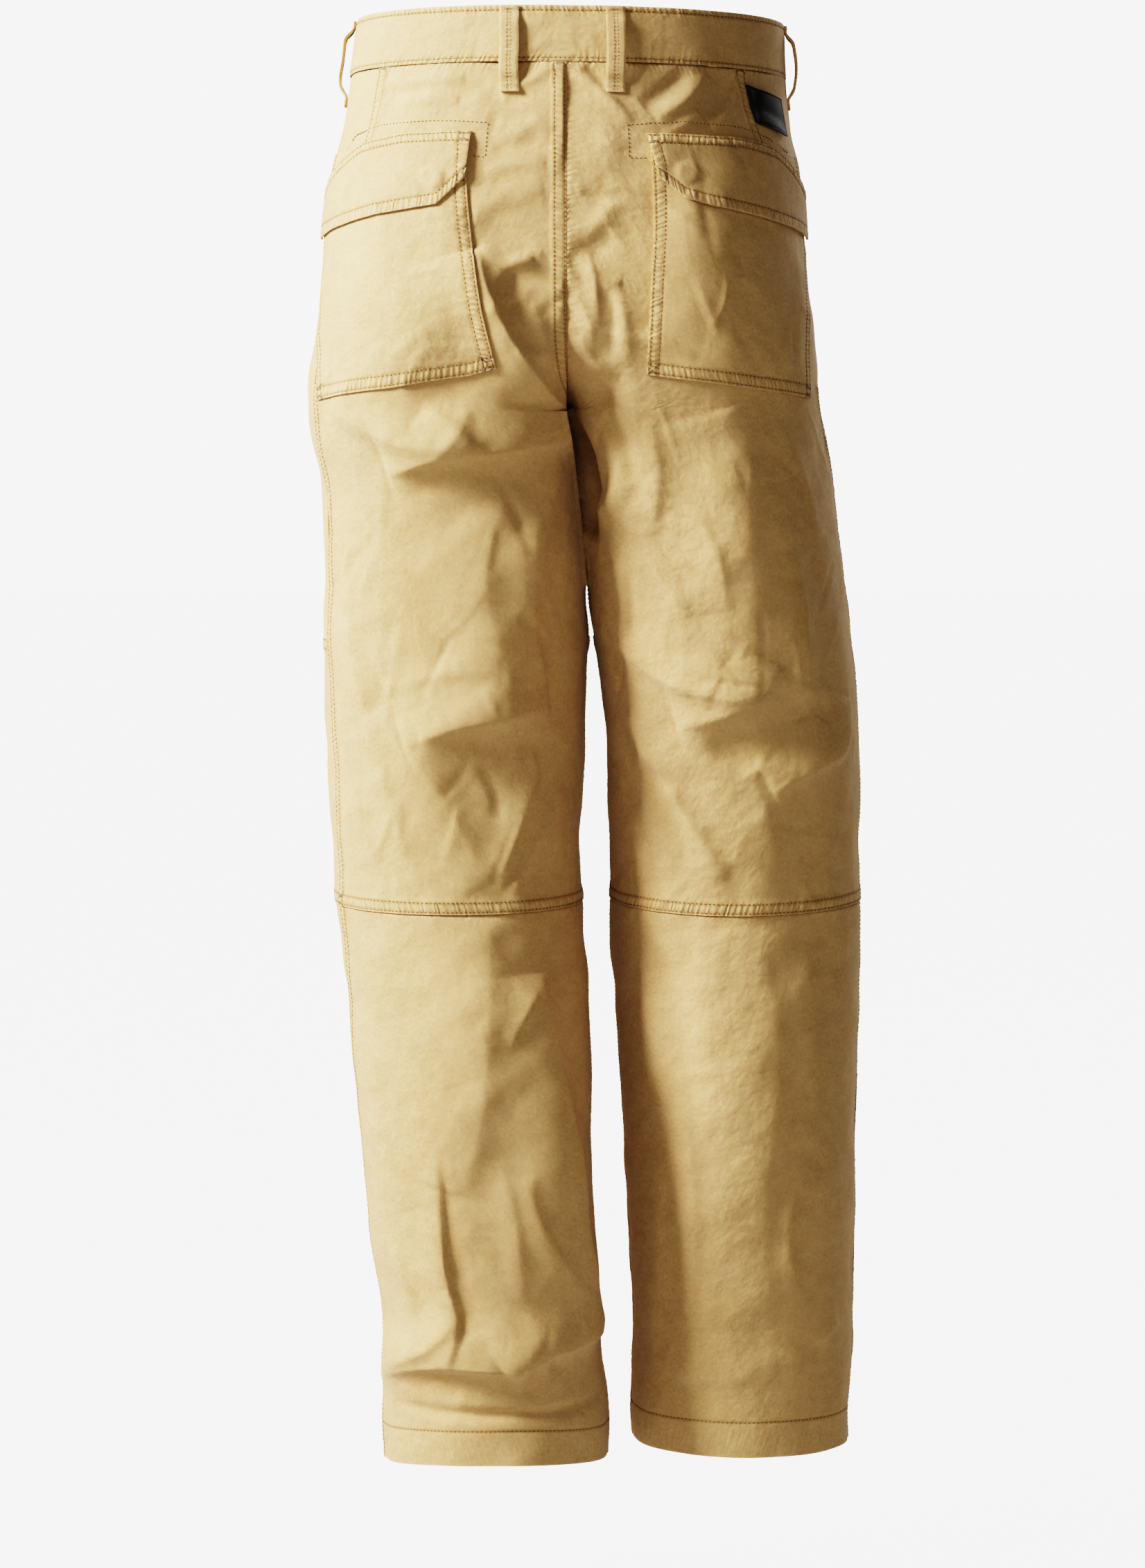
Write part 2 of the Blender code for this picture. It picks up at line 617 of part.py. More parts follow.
def waist_button(half):
    """A flat sewn button on the lapped end of the waistband."""
    lapped = BAND_PROUD + BAND_CLOTH + SEAM_GAP
    block = slice(0, half.rows["waist seam"] + 1), slice(-2, None)
    middle = Vector(half.layer(lapped, *block).mean(axis=(0, 1)))
    out = Vector(half.out[block].mean(axis=(0, 1))).normalized()
    bm = bmesh.new()
    bmesh.ops.create_cone(bm, cap_ends=True, segments=24, radius1=BUTTON_RADIUS,
                          radius2=BUTTON_RADIUS * 0.9, depth=BUTTON_DEPTH)
    piece = finish_object("waist_button", bm, BUTTON_BROWN, 0.45)
    piece.rotation_euler = out.to_track_quat("Z", "Y").to_euler()
    piece.location = middle + out * (BUTTON_DEPTH / 2 + PATCH_GAP)


def build():
    halves = {name: Half(name) for name in SIGN}
    back, front = slice(0, BACK_COLUMNS + 1), slice(BACK_COLUMNS, None)
    for name, half in halves.items():
        panel("back_upper_" + name, half, "waist seam", "knee seam", back)
        panel("back_lower_" + name, half, "knee seam", "hem", back)
        panel("front_upper_" + name, half, "waist seam", "knee top", front)
        panel("front_knee_" + name, half, "knee top", "knee seam", front)
        panel("front_lower_" + name, half, "knee seam", "hem", front)
        hip_pocket(half)
        pocket_flap(half)
    waistband(halves)
    for loop in BELT_LOOPS:
        belt_loop(loop)
    label_patch(halves["right"])
    fly(halves["left"])
    waist_button(halves["right"])


for leftover in list(bpy.data.objects):
    bpy.data.objects.remove(leftover, do_unlink=True)
COLLECTION = bpy.data.collections.new("cargo_trousers")
bpy.context.scene.collection.children.link(COLLECTION)
build()
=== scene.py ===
import math
import bpy
import numpy as np
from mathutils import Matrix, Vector


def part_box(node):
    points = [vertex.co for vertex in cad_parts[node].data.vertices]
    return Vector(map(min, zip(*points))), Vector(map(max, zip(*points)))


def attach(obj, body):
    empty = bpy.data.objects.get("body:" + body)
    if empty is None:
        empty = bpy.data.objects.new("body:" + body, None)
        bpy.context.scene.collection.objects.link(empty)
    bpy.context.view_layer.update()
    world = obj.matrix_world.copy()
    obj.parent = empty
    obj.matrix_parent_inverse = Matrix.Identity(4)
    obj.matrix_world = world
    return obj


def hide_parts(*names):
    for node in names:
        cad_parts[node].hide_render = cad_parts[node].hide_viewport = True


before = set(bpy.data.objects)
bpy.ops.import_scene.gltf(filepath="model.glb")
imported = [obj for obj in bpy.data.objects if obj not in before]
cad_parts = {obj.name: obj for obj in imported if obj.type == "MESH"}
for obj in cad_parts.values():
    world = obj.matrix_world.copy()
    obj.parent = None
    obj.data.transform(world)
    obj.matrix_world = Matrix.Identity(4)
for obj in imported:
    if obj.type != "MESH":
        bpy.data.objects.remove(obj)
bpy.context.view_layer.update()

# The form is worked out in millimetres: drop is the depth below the waist top, and an
# angle of 0 is the outermost line of a half, 90 its back and -90 its front.
mm = 0.001
outward = {"left": 1, "right": -1}  # the wearer's left is +X


class Wire:  # a socket of a node tree
    def __init__(self, tree, socket=None):
        self.tree = tree
        self.socket = socket

    def add(self, kind, settings=None, values=None, output=0):
        node = self.tree.nodes.new(kind)
        for key, value in (settings or {}).items():
            setattr(node, key, value)
        for key, value in (values or {}).items():
            if isinstance(value, Wire):
                self.tree.links.new(value.socket, node.inputs[key])
            else:
                node.inputs[key].default_value = value
        return Wire(self.tree, node.outputs[output])

    def reading(self, name, output=2):  # a value kept on the points of a mesh
        return self.add("ShaderNodeAttribute", {"attribute_name": name}, output=output)

    def maths(self, operation, first, second=0.0):
        return self.add("ShaderNodeMath", {"operation": operation}, {0: first, 1: second})

    def __add__(self, other):
        return self.maths("ADD", self, other)

    def __radd__(self, other):
        return self.maths("ADD", other, self)

    def __sub__(self, other):
        return self.maths("SUBTRACT", self, other)

    def __rsub__(self, other):
        return self.maths("SUBTRACT", other, self)

    def __mul__(self, other):
        return self.maths("MULTIPLY", self, other)

    def __rmul__(self, other):
        return self.maths("MULTIPLY", other, self)

    def sine(self):
        return self.maths("SINE", self)

    def clamped(self):
        return self.add("ShaderNodeClamp", values={0: self})

    def mixed(self, first, second):  # colours, this socket is the share of the second
        return self.add("ShaderNodeMix", {"data_type": "RGBA"}, {0: self, 6: first, 7: second}, 2)


def newMaterial(name, **constants):
    material = bpy.data.materials.new(name)
    material.use_nodes = True
    shader = material.node_tree.nodes["Principled BSDF"]
    for key, value in constants.items():
        shader.inputs[key.replace("_", " ")].default_value = value
    return material, shader, Wire(material.node_tree)


def finished(shader, color, height):  # links a finish's colour and relief to its shader
    bump = height.add("ShaderNodeBump", values={"Distance": mm, "Height": height})
    height.tree.links.new(color.socket, shader.inputs["Base Color"])
    height.tree.links.new(bump.socket, shader.inputs["Normal"])


def shaded(color, share=1.0):
    return (*[share * part for part in color], 1.0)


def grainOf(start):  # the cloth's own place, across it and along it, in millimetres
    grain = start.reading("grain", 1)
    parts = start.add("ShaderNodeSeparateXYZ", values={0: grain})
    return grain, parts, Wire(start.tree, parts.socket.node.outputs[1])


twill = {
    "light": (0.60, 0.395, 0.195),  # the light end of the tone: worn places, and painted highlight on pucker crests
    "dark": (0.40, 0.238, 0.096),
    "pitch": 0.95,  # of the twill lines, millimetres
    "slant": (1.25, 0.72),
    "weaveHeight": 0.05, "weaveTone": 0.07,
    "slubs": (2.2, 3.0), "slubHeight": 0.16, "slubTone": 0.9,  # size and detail
    # the puckers between two rows of stitches, their crests given painted highlight and their
    # troughs painted shade
    "ladderHeight": 0.7, "ladderPaintedShading": 0.7, "ladderPitch": 4.2, "ladderUneven": (0.45, 1.6),
    "clouds": ((55, 2.0, 0.5), (9, 3.0, 0.5)),  # size, detail and strength of worn patches
    "crumple": ((26, 2.2), (9, 0.8), (3.5, 0.3)),  # size and height of soft unevenness
}


def twillCloth(name, shade=1.0):
    material, shader, start = newMaterial(name, Roughness=0.88, Sheen_Weight=0.12,
                                          Sheen_Roughness=0.5, Specular_IOR_Level=0.25)
    grain, across, along = grainOf(start)
    tone, ladder, rung = (start.reading(key) for key in ("tone", "ladder", "rung"))

    def cloud(size, detail):
        return start.add("ShaderNodeTexNoise", {"noise_dimensions": "3D"},
                         {"Vector": grain, "Scale": 1 / size, "Detail": detail})

    quick, strong = twill["ladderUneven"]
    uneven = start.add("ShaderNodeTexNoise", {"noise_dimensions": "1D"},
                       {"W": rung * (quick / twill["ladderPitch"]), "Scale": 1.0, "Detail": 1.0})
    turn = (rung * (1 / twill["ladderPitch"]) + uneven * strong) * (2 * math.pi)
    rungs = (0.5 * turn.sine() * uneven) * ladder
    slant = across * twill["slant"][0] + along * twill["slant"][1]
    ribs = (slant * (2 * math.pi / twill["pitch"])).sine()
    slubs = cloud(*twill["slubs"])
    # the tone carries painted highlight and shade on the ladder puckers, besides wear, slubs and
    # weave
    shadeHere = tone + (slubs - 0.5) * twill["slubTone"] + rungs * twill["ladderPaintedShading"] \
        + ribs * twill["weaveTone"]
    for size, detail, strength in twill["clouds"]:
        shadeHere = shadeHere + (cloud(size, detail) - 0.5) * strength
    color = shadeHere.clamped().mixed(shaded(twill["dark"], shade), shaded(twill["light"], shade))
    height = rungs * twill["ladderHeight"] + ribs * twill["weaveHeight"] \
        + slubs * twill["slubHeight"]
    for size, high in twill["crumple"]:
        height = height + cloud(size, 1.0) * high
    finished(shader, color, height)
    return material


def plainCloth(name, color, roughness, weave, high):
    material, shader, start = newMaterial(name, Roughness=roughness)
    grain, across, along = grainOf(start)
    turn = 2 * math.pi / weave
    ribs = (across * turn).sine() * (along * turn).sine()
    fluff = start.add("ShaderNodeTexNoise", values={"Vector": grain, "Scale": 0.8})
    worn = (fluff * 0.8 + ribs * 0.2).clamped()
    finished(shader, worn.mixed(shaded(color, 0.6), shaded(color, 1.5)), ribs * high + fluff * 0.1)
    return material


def threadFinish(name, color):
    material, shader, start = newMaterial(name, Roughness=0.6)
    place = start.add("ShaderNodeTexCoord", output=3)
    twist = start.add("ShaderNodeTexNoise", values={"Vector": place, "Scale": 1500.0})
    finished(shader, twist.mixed(shaded(color, 0.75), shaded(color, 1.2)), twist * 0.1)
    return material


def hornFinish(name, dark, light):
    material, shader, start = newMaterial(name, Roughness=0.38, Coat_Weight=0.2)
    place = start.add("ShaderNodeTexCoord", output=3)
    cloud = start.add("ShaderNodeTexNoise", values={"Vector": place, "Scale": 190.0, "Detail": 4.0,
                                                    "Distortion": 1.5})
    finished(shader, cloud.mixed(shaded(dark), shaded(light)), cloud * 0.05)
    return material


panelTwill = twillCloth("khaki_twill")
pocketTwill = twillCloth("khaki_twill_pocket", 1.02)
trimTwill = twillCloth("khaki_twill_trim")
sewingThread = threadFinish("khaki_thread", (0.17, 0.09, 0.032))
labelCloth = plainCloth("black_damask", (0.018, 0.015, 0.013), 0.7, 0.5, 0.12)
labelThread = threadFinish("black_thread", (0.03, 0.026, 0.022))
horn = hornFinish("brown_horn", (0.05, 0.028, 0.014), (0.24, 0.14, 0.07))
print("materials made")


body = {
    "waistSeam": 40, "crotch": 279, "apart": 404, "kneeTop": 440, "kneeSeam": 630, "hemFold": 25,
    "length": {"left": 1025.5, "right": 1021.5},
    "riseRun": 150, "risePower": 1.15, "riseEase": 0.1, "peakPower": 1.6, "waistTilt": 0.011,
    "square": 2.15,  # exponent of the sections, 2 is an ellipse
    "innerSquare": ((0, 2.9), (279, 2.9), (380, 2.5), (560, 2.1), (1031, 2.05)),  # inside back
    "kneeDip": {"left": 2, "right": 5}, "hemLift": {"left": 10, "right": 1},
    "seamGap": 0.3, "cloth": 1.5, "hemCloth": 2.8,
    "pressReach": 2.5, "pressGap": 0.02,  # where the thighs lie against each other
    "centreReach": 14, "centreTuck": 3, "centreLevel": 0.25,  # of the seam at the centre
    # where the side seam runs, degrees behind the outermost line at each drop
    "sideSeam": {
        "left": ((0, 33), (80, 34), (200, 27), (345, 21), (630, 20), (736, 9), (900, 1), (1031, 0)),
        "right": ((0, 40), (80, 38), (200, 24), (345, 4), (630, 0), (1017, 0)),
    },
}

# outer and inner are a half's sides from the centre plane, back and front are along Y
sectionColumns = ("drop", "outer", "inner", "back", "front")
sections = {
    "left": (
        (0, 150, 0, 98, -104), (40, 155, 0, 104, -107), (73, 160, 0, 110, -111),
        (106, 167, 0, 115, -113), (140, 171, 0, 119, -114), (179, 174, 0, 122, -113),
        (215, 179, 0, 121, -111), (250, 183, 0, 116, -107), (279, 185, 0, 108, -102),
        (303, 182, -4, 102, -99), (334, 176, -8, 98, -97), (401, 175, -14.2, 91, -94),
        (446, 175, -13.8, 87, -92), (501, 174, -12, 84, -90), (560, 171, -10.5, 82, -87),
        (605, 167.5, -10, 83, -83), (640, 164.5, -11, 85, -77), (691, 158, -14.5, 91, -67),
        (736, 153, -16.5, 95, -60), (800, 147, -17, 98, -53), (857, 141, -20, 99, -49),
        (901, 134.5, -22, 98, -48), (930, 129.5, -23, 97, -48), (957, 129, -25, 95, -49),
        (981, 130.5, -29, 96, -50), (1026, 131, -29, 96, -50),
    ),
    "right": (
        (0, 155, 0, 98, -104), (40, 156.5, 0, 104, -107), (73, 160, 0, 110, -111),
        (106, 166, 0, 115, -113), (140, 168.5, 0, 119, -114), (179, 172, 0, 122, -113),
        (215, 177, 0, 121, -111), (250, 180, 0, 116, -107), (279, 182.5, 0, 108, -102),
        (303, 186.5, 4.3, 102, -99), (334, 191.5, 8.3, 98, -97), (401, 199.5, 14.5, 91, -94),
        (446, 204.5, 21, 86, -92), (501, 209.5, 27.5, 79, -94), (560, 211.5, 30.5, 71, -97),
        (605, 211, 31.5, 66, -99), (640, 212, 32, 64, -97), (691, 211, 34.5, 64, -93),
        (736, 209.5, 37.5, 64, -89), (800, 208.5, 41.5, 63, -86), (857, 208, 45, 60, -85),
        (901, 207, 47, 57, -86), (946, 206.5, 48.5, 56, -86), (988, 205, 47.5, 55, -86),
        (1022, 204.5, 48, 55, -86),
    ),
}


def through(stations, values, at):  # a smooth curve through a table's rows
    x, y = np.asarray(stations, float), np.asarray(values, float)
    slope = np.gradient(y, x)
    i = np.clip(np.searchsorted(x, at) - 1, 0, len(x) - 2)
    run = x[i + 1] - x[i]
    t = np.clip((at - x[i]) / run, 0, 1)
    rise = y[i] * (2 * t**3 - 3 * t**2 + 1) + y[i + 1] * (3 * t**2 - 2 * t**3)
    return rise + run * (slope[i] * (t**3 - 2 * t**2 + t) + slope[i + 1] * (t**3 - t**2))


def sizeAt(half, name, drop):
    rows = np.array(sections[half], float)
    return through(rows[:, 0], rows[:, sectionColumns.index(name)], drop)


def unit(vectors):
    return vectors / np.maximum(np.linalg.norm(vectors, axis=-1, keepdims=True), 1e-12)


def signedPower(value, power):
    return np.sign(value) * np.abs(value) ** power


def bell(value):  # 1 at 0, falling smoothly to 0 at -1 and 1
    return (1 - np.clip(np.abs(value), 0, 1) ** 2) ** 2


def smooth(value):  # 0 below 0, 1 above 1
    t = np.clip(value, 0, 1)
    return t * t * (3 - 2 * t)


def sectionAt(half, drop):
    outer, inner = sizeAt(half, "outer", drop), sizeAt(half, "inner", drop)
    down = np.clip(drop / body["crotch"], 0, 1)
    peak = (outer + inner) / 2 * np.sin(math.pi / 2 * down) ** body["peakPower"]
    ease = body["riseEase"]
    rise = np.hypot(np.clip((body["crotch"] - drop) / body["riseRun"], 0, 1), ease) - ease
    rise = np.minimum(rise / (math.hypot(1, ease) - ease), 1)
    share = np.sin(math.pi / 2 * rise) ** body["risePower"]
    inner = np.where(drop < body["crotch"], -outer * share, inner)
    return peak, outer, inner, sizeAt(half, "back", drop), sizeAt(half, "front", drop)


def innerSquare(drop):
    return np.interp(drop, *zip(*body["innerSquare"]))


def angleAtX(half, drop, x, face=1):  # face is 1 for the back and -1 for the front
    peak, outer, inner, _, _ = sectionAt(half, drop)
    share = (x - peak) / np.where(x > peak, outer - peak, peak - inner)
    square = np.where((x < peak) & (face > 0), innerSquare(drop), body["square"])
    return face * np.arccos(np.clip(signedPower(share, square / 2), -1, 1))


def sideAngle(half, drop):
    drops, degrees = zip(*body["sideSeam"][half])
    return np.radians(through(drops, degrees, drop))


def centreAngle(half, drop, face):
    angle = angleAtX(half, drop, np.zeros_like(drop), face)
    return np.where(drop >= body["crotch"], face * math.pi, angle)


def plainForm(half, drop, angle):
    peak, outer, inner, back, front = sectionAt(half, drop)
    middle = (back + front) / 2
    thigh = (np.cos(angle) < 0) & (np.sin(angle) > 0)
    power = 2 / np.where(thigh, innerSquare(drop), body["square"])
    width = np.where(np.cos(angle) > 0, outer - peak, peak - inner)
    x = outward[half] * (peak + width * signedPower(np.cos(angle), power))
    depth = np.where(np.sin(angle) > 0, back - middle, middle - front)
    y = middle + depth * signedPower(np.sin(angle), power)
    backward = np.clip(np.sin(angle), 0, 1) ** 1.5
    tilt = body["waistTilt"] * x * np.clip(1 - drop / 200, 0, 1)
    dip = body["kneeDip"][half] * backward * bell((drop - body["kneeSeam"]) / 150)
    lift = body["hemLift"][half] * backward * bell((drop - body["length"][half]) / 120)
    return np.stack([x, y, -drop + tilt - dip + lift], axis=-1)


def plainNormals(half, drop, angle):
    down = plainForm(half, drop + 1, angle) - plainForm(half, drop - 1, angle)
    around = plainForm(half, drop, angle + 0.01) - plainForm(half, drop, angle - 0.01)
    return outward[half] * unit(np.cross(down, around))


sides = {"back": 1, "front": -1}
relief = {"deep": 1.22, "fade": 0.6, "reach": 4}  # of every fold and crease

# Each fold is its height, width, lean and crest, and then the (x, drop) points that it runs
# through. A lean above 0 makes the side on the left of its run, seen from outside, the steep
# one, and a crest near 1 gives that side a sharp edge.
folds = {
    "left": {
        "back": (
            # seat
            (10.5, 17, 0.55, 1.1, (62, 170), (54, 198), (37, 232), (14, 264), (-2, 288)),
            (2.2, 8, 0.3, 1.5, (24, 206), (15, 232), (8, 256)),
            (1.6, 8, 0, 1.5, (66, 142), (40, 134), (15, 130)),
            (-1.5, 7, 0, 1.5, (62, 150), (44, 158), (24, 170)),
            (-2, 7, 0, 1.5, (44, 172), (36, 200), (38, 222)),
            # thigh
            (5, 14, -0.4, 1.5, (166, 276), (140, 292), (106, 303), (66, 305)),
            (5, 11, 0.5, 1.1, (96, 276), (76, 290), (60, 306)),
            (11.5, 21, -0.55, 1.05, (124, 325), (110, 321), (84, 313), (47, 308), (0, 300),
             (-10, 296)),
            (5.5, 26, 0.3, 1.5, (40, 330), (58, 390), (48, 450), (34, 500)),
            (7.5, 15, 0.45, 1.2, (4, 318), (21, 368), (26, 420), (18, 470)),
            (-1.4, 4, 0, 1.5, (47, 328), (36, 352), (27, 384)),
            (-1.6, 6, 0, 1.5, (34, 420), (20, 440), (8, 470)),
            (2.4, 11, 0.3, 1.5, (158, 400), (143, 480), (106, 612)),
            (1.6, 9, -0.3, 1.5, (129, 474), (88, 464), (47, 462)),
            # knee
            (9, 21, -0.55, 1.05, (112, 513), (76, 501), (40, 495), (12, 486)),
            (3.8, 20, 0.35, 1.5, (132, 488), (119, 510), (88, 550), (54, 608)),
            (3.4, 8, 0.5, 1.5, (26, 513), (24, 540), (38, 585), (47, 616)),
            (2.8, 8, -0.4, 1.5, (4, 545), (25, 589), (42, 620)),
            (-1.6, 5, 0, 1.5, (60, 528), (50, 545), (47, 566)),
            # calf
            (5.5, 30, 0.4, 1.3, (54, 632), (56, 694), (60, 774), (73, 826)),
            (11, 24, 0.5, 1.1, (19, 672), (8, 745), (-1, 806), (-9, 862), (-22, 930)),
            (1.4, 5, -0.3, 1.5, (42, 726), (22, 684)),
            (1.8, 8, 0.3, 1.5, (46, 800), (36, 850), (30, 900)),
            (-2.6, 4.5, 0, 1.5, (122, 980), (90, 986), (40, 988), (0, 985), (-24, 976)),
            (4.6, 9, 0.75, 1.5, (89, 800), (86, 854), (82, 886), (75, 916), (80, 950)),
            (2.2, 8, 0.4, 1.5, (28, 812), (24, 838), (8, 874), (-9, 902)),
            (2.2, 14, 0.3, 1.5, (152, 700), (134, 770), (114, 840)),
            (1.6, 9, 0.4, 1.5, (122, 858), (110, 900), (100, 930)),
            (9, 18, -0.58, 1.05, (134, 970), (108, 955), (80, 949), (48, 953), (26, 960)),
            (8, 15, -0.58, 1.05, (40, 960), (12, 942), (-28, 932)),
            (3.6, 9, -0.5, 1.5, (126, 960), (93, 934), (75, 912)),
            (-2.2, 5, 0, 1.5, (14, 942), (4, 956)),
            # below the waistband
            (2.2, 5, -0.3, 1.5, (126, 50), (104, 53), (70, 52)),
            (2, 5.5, -0.3, 1.5, (120, 68), (98, 66), (74, 67)),
            (-1.4, 4, 0, 1.5, (132, 60), (116, 60), (96, 60)),
            (-1.1, 5, 0, 1.5, (84, 58), (60, 58), (44, 66)),
            (1.7, 5, -0.3, 1.5, (46, 62), (26, 54), (9, 44)),
            (1.4, 6, 0, 1.5, (40, 92), (22, 84), (10, 90)),
            (2, 6, -0.3, 1.5, (52, 196), (38, 182), (22, 178)),
            (1.4, 6, 0, 1.5, (56, 118), (38, 112), (14, 112)),
            (2, 5, 0.3, 1.5, (60, 166), (46, 176), (30, 178), (16, 172)),
            (1.6, 5, -0.3, 1.5, (54, 214), (40, 204), (26, 206)),
            (-1.2, 4, 0, 1.5, (50, 100), (30, 98), (12, 102)),
            (1.6, 5, 0.4, 1.5, (34, 232), (22, 240), (10, 238)),
        ),
        "front": (
            (-4, 11, 0, 1.5, (10, 258), (50, 246), (100, 240)),
            (-4.5, 12, 0.3, 1.5, (12, 276), (55, 286), (105, 288)),
            (4, 16, 0.4, 1.5, (40, 340), (90, 360), (130, 366)),
            (4.5, 15, 0.5, 1.5, (60, 520), (110, 512), (150, 520)),
            (-4.5, 14, 0, 1.5, (5, 562), (50, 548), (100, 553)),
            (4.5, 14, 0.5, 1.5, (20, 606), (60, 596), (120, 600)),
            (4.5, 18, -0.4, 1.5, (115, 690), (102, 760), (86, 830)),
            (3.5, 24, -0.4, 1.5, (60, 300), (84, 400), (88, 470)),
            (3.5, 16, 0.4, 1.5, (10, 700), (14, 790), (2, 880)),
            (-5, 12, 0, 1.5, (-8, 934), (40, 948), (104, 940)),
            (5, 12, 0.5, 1.5, (-6, 950), (50, 964), (112, 952)),
            (-3, 10, 0, 1.5, (0, 976), (50, 984), (112, 974)),
            (1.6, 9, 0, 1.5, (60, 60), (78, 96), (84, 130)),
            (1.8, 8, 0.3, 1.5, (14, 230), (44, 214), (80, 206)),
            (-2.2, 8, 0, 1.5, (16, 300), (60, 322), (92, 346)),
            (-2, 8, 0, 1.5, (30, 470), (44, 510), (40, 548)),
            (2.2, 10, 0.4, 1.5, (40, 640), (52, 690), (48, 740)),
        ),
    },
    "right": {
        "back": (
            # seat
            (-2.4, 10, 0, 1.5, (-4, 186), (-18, 170), (-32, 160)),
            (2.2, 9, 0.4, 1.5, (-5, 200), (-16, 220), (-18, 244)),
            (-3.5, 10, 0, 1.5, (-14, 282), (-24, 268), (-38, 254)),
            (1.3, 7, 0, 1.5, (-40, 120), (-24, 150), (-12, 164)),
            (1.8, 9, 0.4, 1.5, (-34, 190), (-40, 222), (-44, 250)),
            (1.8, 5, 0.4, 1.5, (-14, 170), (-20, 196), (-22, 226)),
            (-1.6, 5, 0, 1.5, (-28, 196), (-32, 220), (-30, 246)),
            (1.8, 5, -0.3, 1.5, (-6, 176), (-24, 190), (-38, 194)),
            (2, 6, 0.3, 1.5, (-8, 228), (-20, 246), (-36, 258)),
            (-1.3, 5, 0, 1.5, (-10, 130), (-26, 136), (-40, 130)),
            # thigh
            (-3, 6, 0, 1.5, (-25, 283), (-40, 306), (-48, 330)),
            (4.5, 10, -0.2, 1.5, (-42, 303), (-36, 333), (-24, 348), (-12, 352)),
            (2.4, 10, 0.5, 1.5, (-58, 286), (-64, 330), (-58, 370)),
            (-23, 14, 0, 1.5, (-2, 284), (-9, 310), (-14, 338), (-14, 366)),
            (6.5, 34, 0.25, 1.5, (-106, 280), (-120, 330), (-127, 396), (-130, 436), (-126, 470)),
            (5, 15, 0.3, 1.5, (-146, 330), (-160, 400), (-166, 450), (-172, 492)),
            (4.5, 14, -0.5, 1.5, (-23, 430), (-64, 465), (-106, 478), (-134, 480)),
            (1.6, 5, -0.3, 1.5, (-56, 383), (-85, 424)),
            (-1.8, 5, 0, 1.5, (-43, 392), (-45, 440)),
            (1.8, 9, 0.4, 1.5, (-86, 345), (-104, 380), (-112, 420)),
            (2, 10, 0.3, 1.5, (-150, 286), (-166, 330), (-178, 370)),
            # knee
            (8, 18, -0.55, 1.05, (-78, 503), (-112, 493), (-134, 482), (-148, 458)),
            (8, 17, -0.55, 1.05, (-144, 545), (-172, 530), (-193, 516), (-200, 484)),
            (-3, 9, 0, 1.5, (-30, 488), (-48, 523), (-73, 565), (-91, 596)),
            (3, 10, 0.4, 1.5, (-42, 488), (-62, 528), (-92, 574), (-112, 604)),
            (-1.6, 6, 0, 1.5, (-57, 531), (-76, 543)),
            (2, 12, 0.3, 1.5, (-120, 520), (-140, 560), (-150, 604)),
            (-2.4, 9, 0, 1.5, (-104, 505), (-116, 522), (-134, 528)),
            # calf
            (4.5, 36, 0, 1.5, (-106, 640), (-112, 734), (-108, 838), (-112, 930)),
            (1.6, 14, 0.3, 1.5, (-136, 640), (-148, 733), (-140, 838), (-144, 920)),
            (-3, 14, 0, 1.5, (-45, 636), (-72, 685), (-88, 745)),
            (2.2, 12, 0.4, 1.5, (-168, 650), (-176, 740), (-172, 800)),
            (1.5, 6, 0.2, 1.5, (-170, 806), (-158, 850), (-160, 890), (-172, 920)),
            (2.2, 7, -0.4, 1.5, (-178, 944), (-194, 926)),
            (1.8, 10, 0.3, 1.5, (-64, 800), (-66, 880), (-60, 950)),
            (1.4, 8, 0.4, 1.5, (-84, 760), (-92, 850), (-88, 930)),
            (1.6, 10, -0.3, 1.5, (-60, 955), (-100, 965), (-150, 958)),
            # below the waistband
            (2, 5, 0.3, 1.5, (-5, 44), (-26, 62), (-46, 82)),
            (-1.4, 4, 0, 1.5, (-12, 43), (-30, 56)),
            (-2.2, 6, 0, 1.5, (-52, 70), (-70, 57), (-84, 43)),
            (2, 6, -0.3, 1.5, (-62, 80), (-82, 66), (-98, 46)),
            (-2.2, 6, 0, 1.5, (-92, 76), (-106, 62), (-116, 44)),
            (1.4, 5, 0, 1.5, (-100, 84), (-114, 70), (-122, 50)),
        ),
        "front": (
            (-4, 11, 0, 1.5, (-10, 262), (-55, 252), (-98, 250)),
            (-4.5, 12, 0, 1.5, (-14, 280), (-60, 290), (-112, 300)),
            (4, 16, -0.4, 1.5, (-50, 352), (-100, 344), (-150, 352)),
            (4.5, 15, -0.5, 1.5, (-70, 528), (-120, 518), (-176, 530)),
            (-4.5, 14, 0, 1.5, (-45, 572), (-95, 560), (-150, 568)),
            (4, 18, -0.4, 1.5, (-60, 700), (-72, 770), (-90, 850)),
            (3.5, 24, 0.4, 1.5, (-80, 310), (-104, 400), (-110, 470)),
            (3, 16, 0.4, 1.5, (-150, 650), (-162, 760), (-158, 860)),
            (-4.5, 12, 0, 1.5, (-62, 944), (-110, 952), (-180, 944)),
            (4, 12, -0.5, 1.5, (-62, 962), (-110, 970), (-180, 960)),
            (1.6, 9, 0, 1.5, (-64, 62), (-80, 100), (-84, 134)),
            (1.8, 8, 0, 1.5, (-16, 226), (-46, 210), (-82, 204)),
            (-2.2, 8, 0, 1.5, (-24, 306), (-66, 326), (-96, 350)),
            (-2, 8, 0, 1.5, (-84, 480), (-90, 512), (-82, 550)),
            (2.2, 10, 0, 1.5, (-120, 650), (-112, 700), (-118, 750)),
        ),
    },
}


def foldPath(half, face, marks):
    x, drop = np.array(marks, float).T
    at, fine = np.arange(len(x)), np.linspace(0, len(x) - 1, 4 * len(x))
    x, drop = through(at, x, fine), through(at, drop, fine)
    return plainForm(half, drop, angleAtX(half, drop, outward[half] * x, face))


foldPaths = {half: [(foldPath(half, sides[side], row[4:]), row[:4]) for side in sides
                    for row in folds[half][side]] for half in folds}


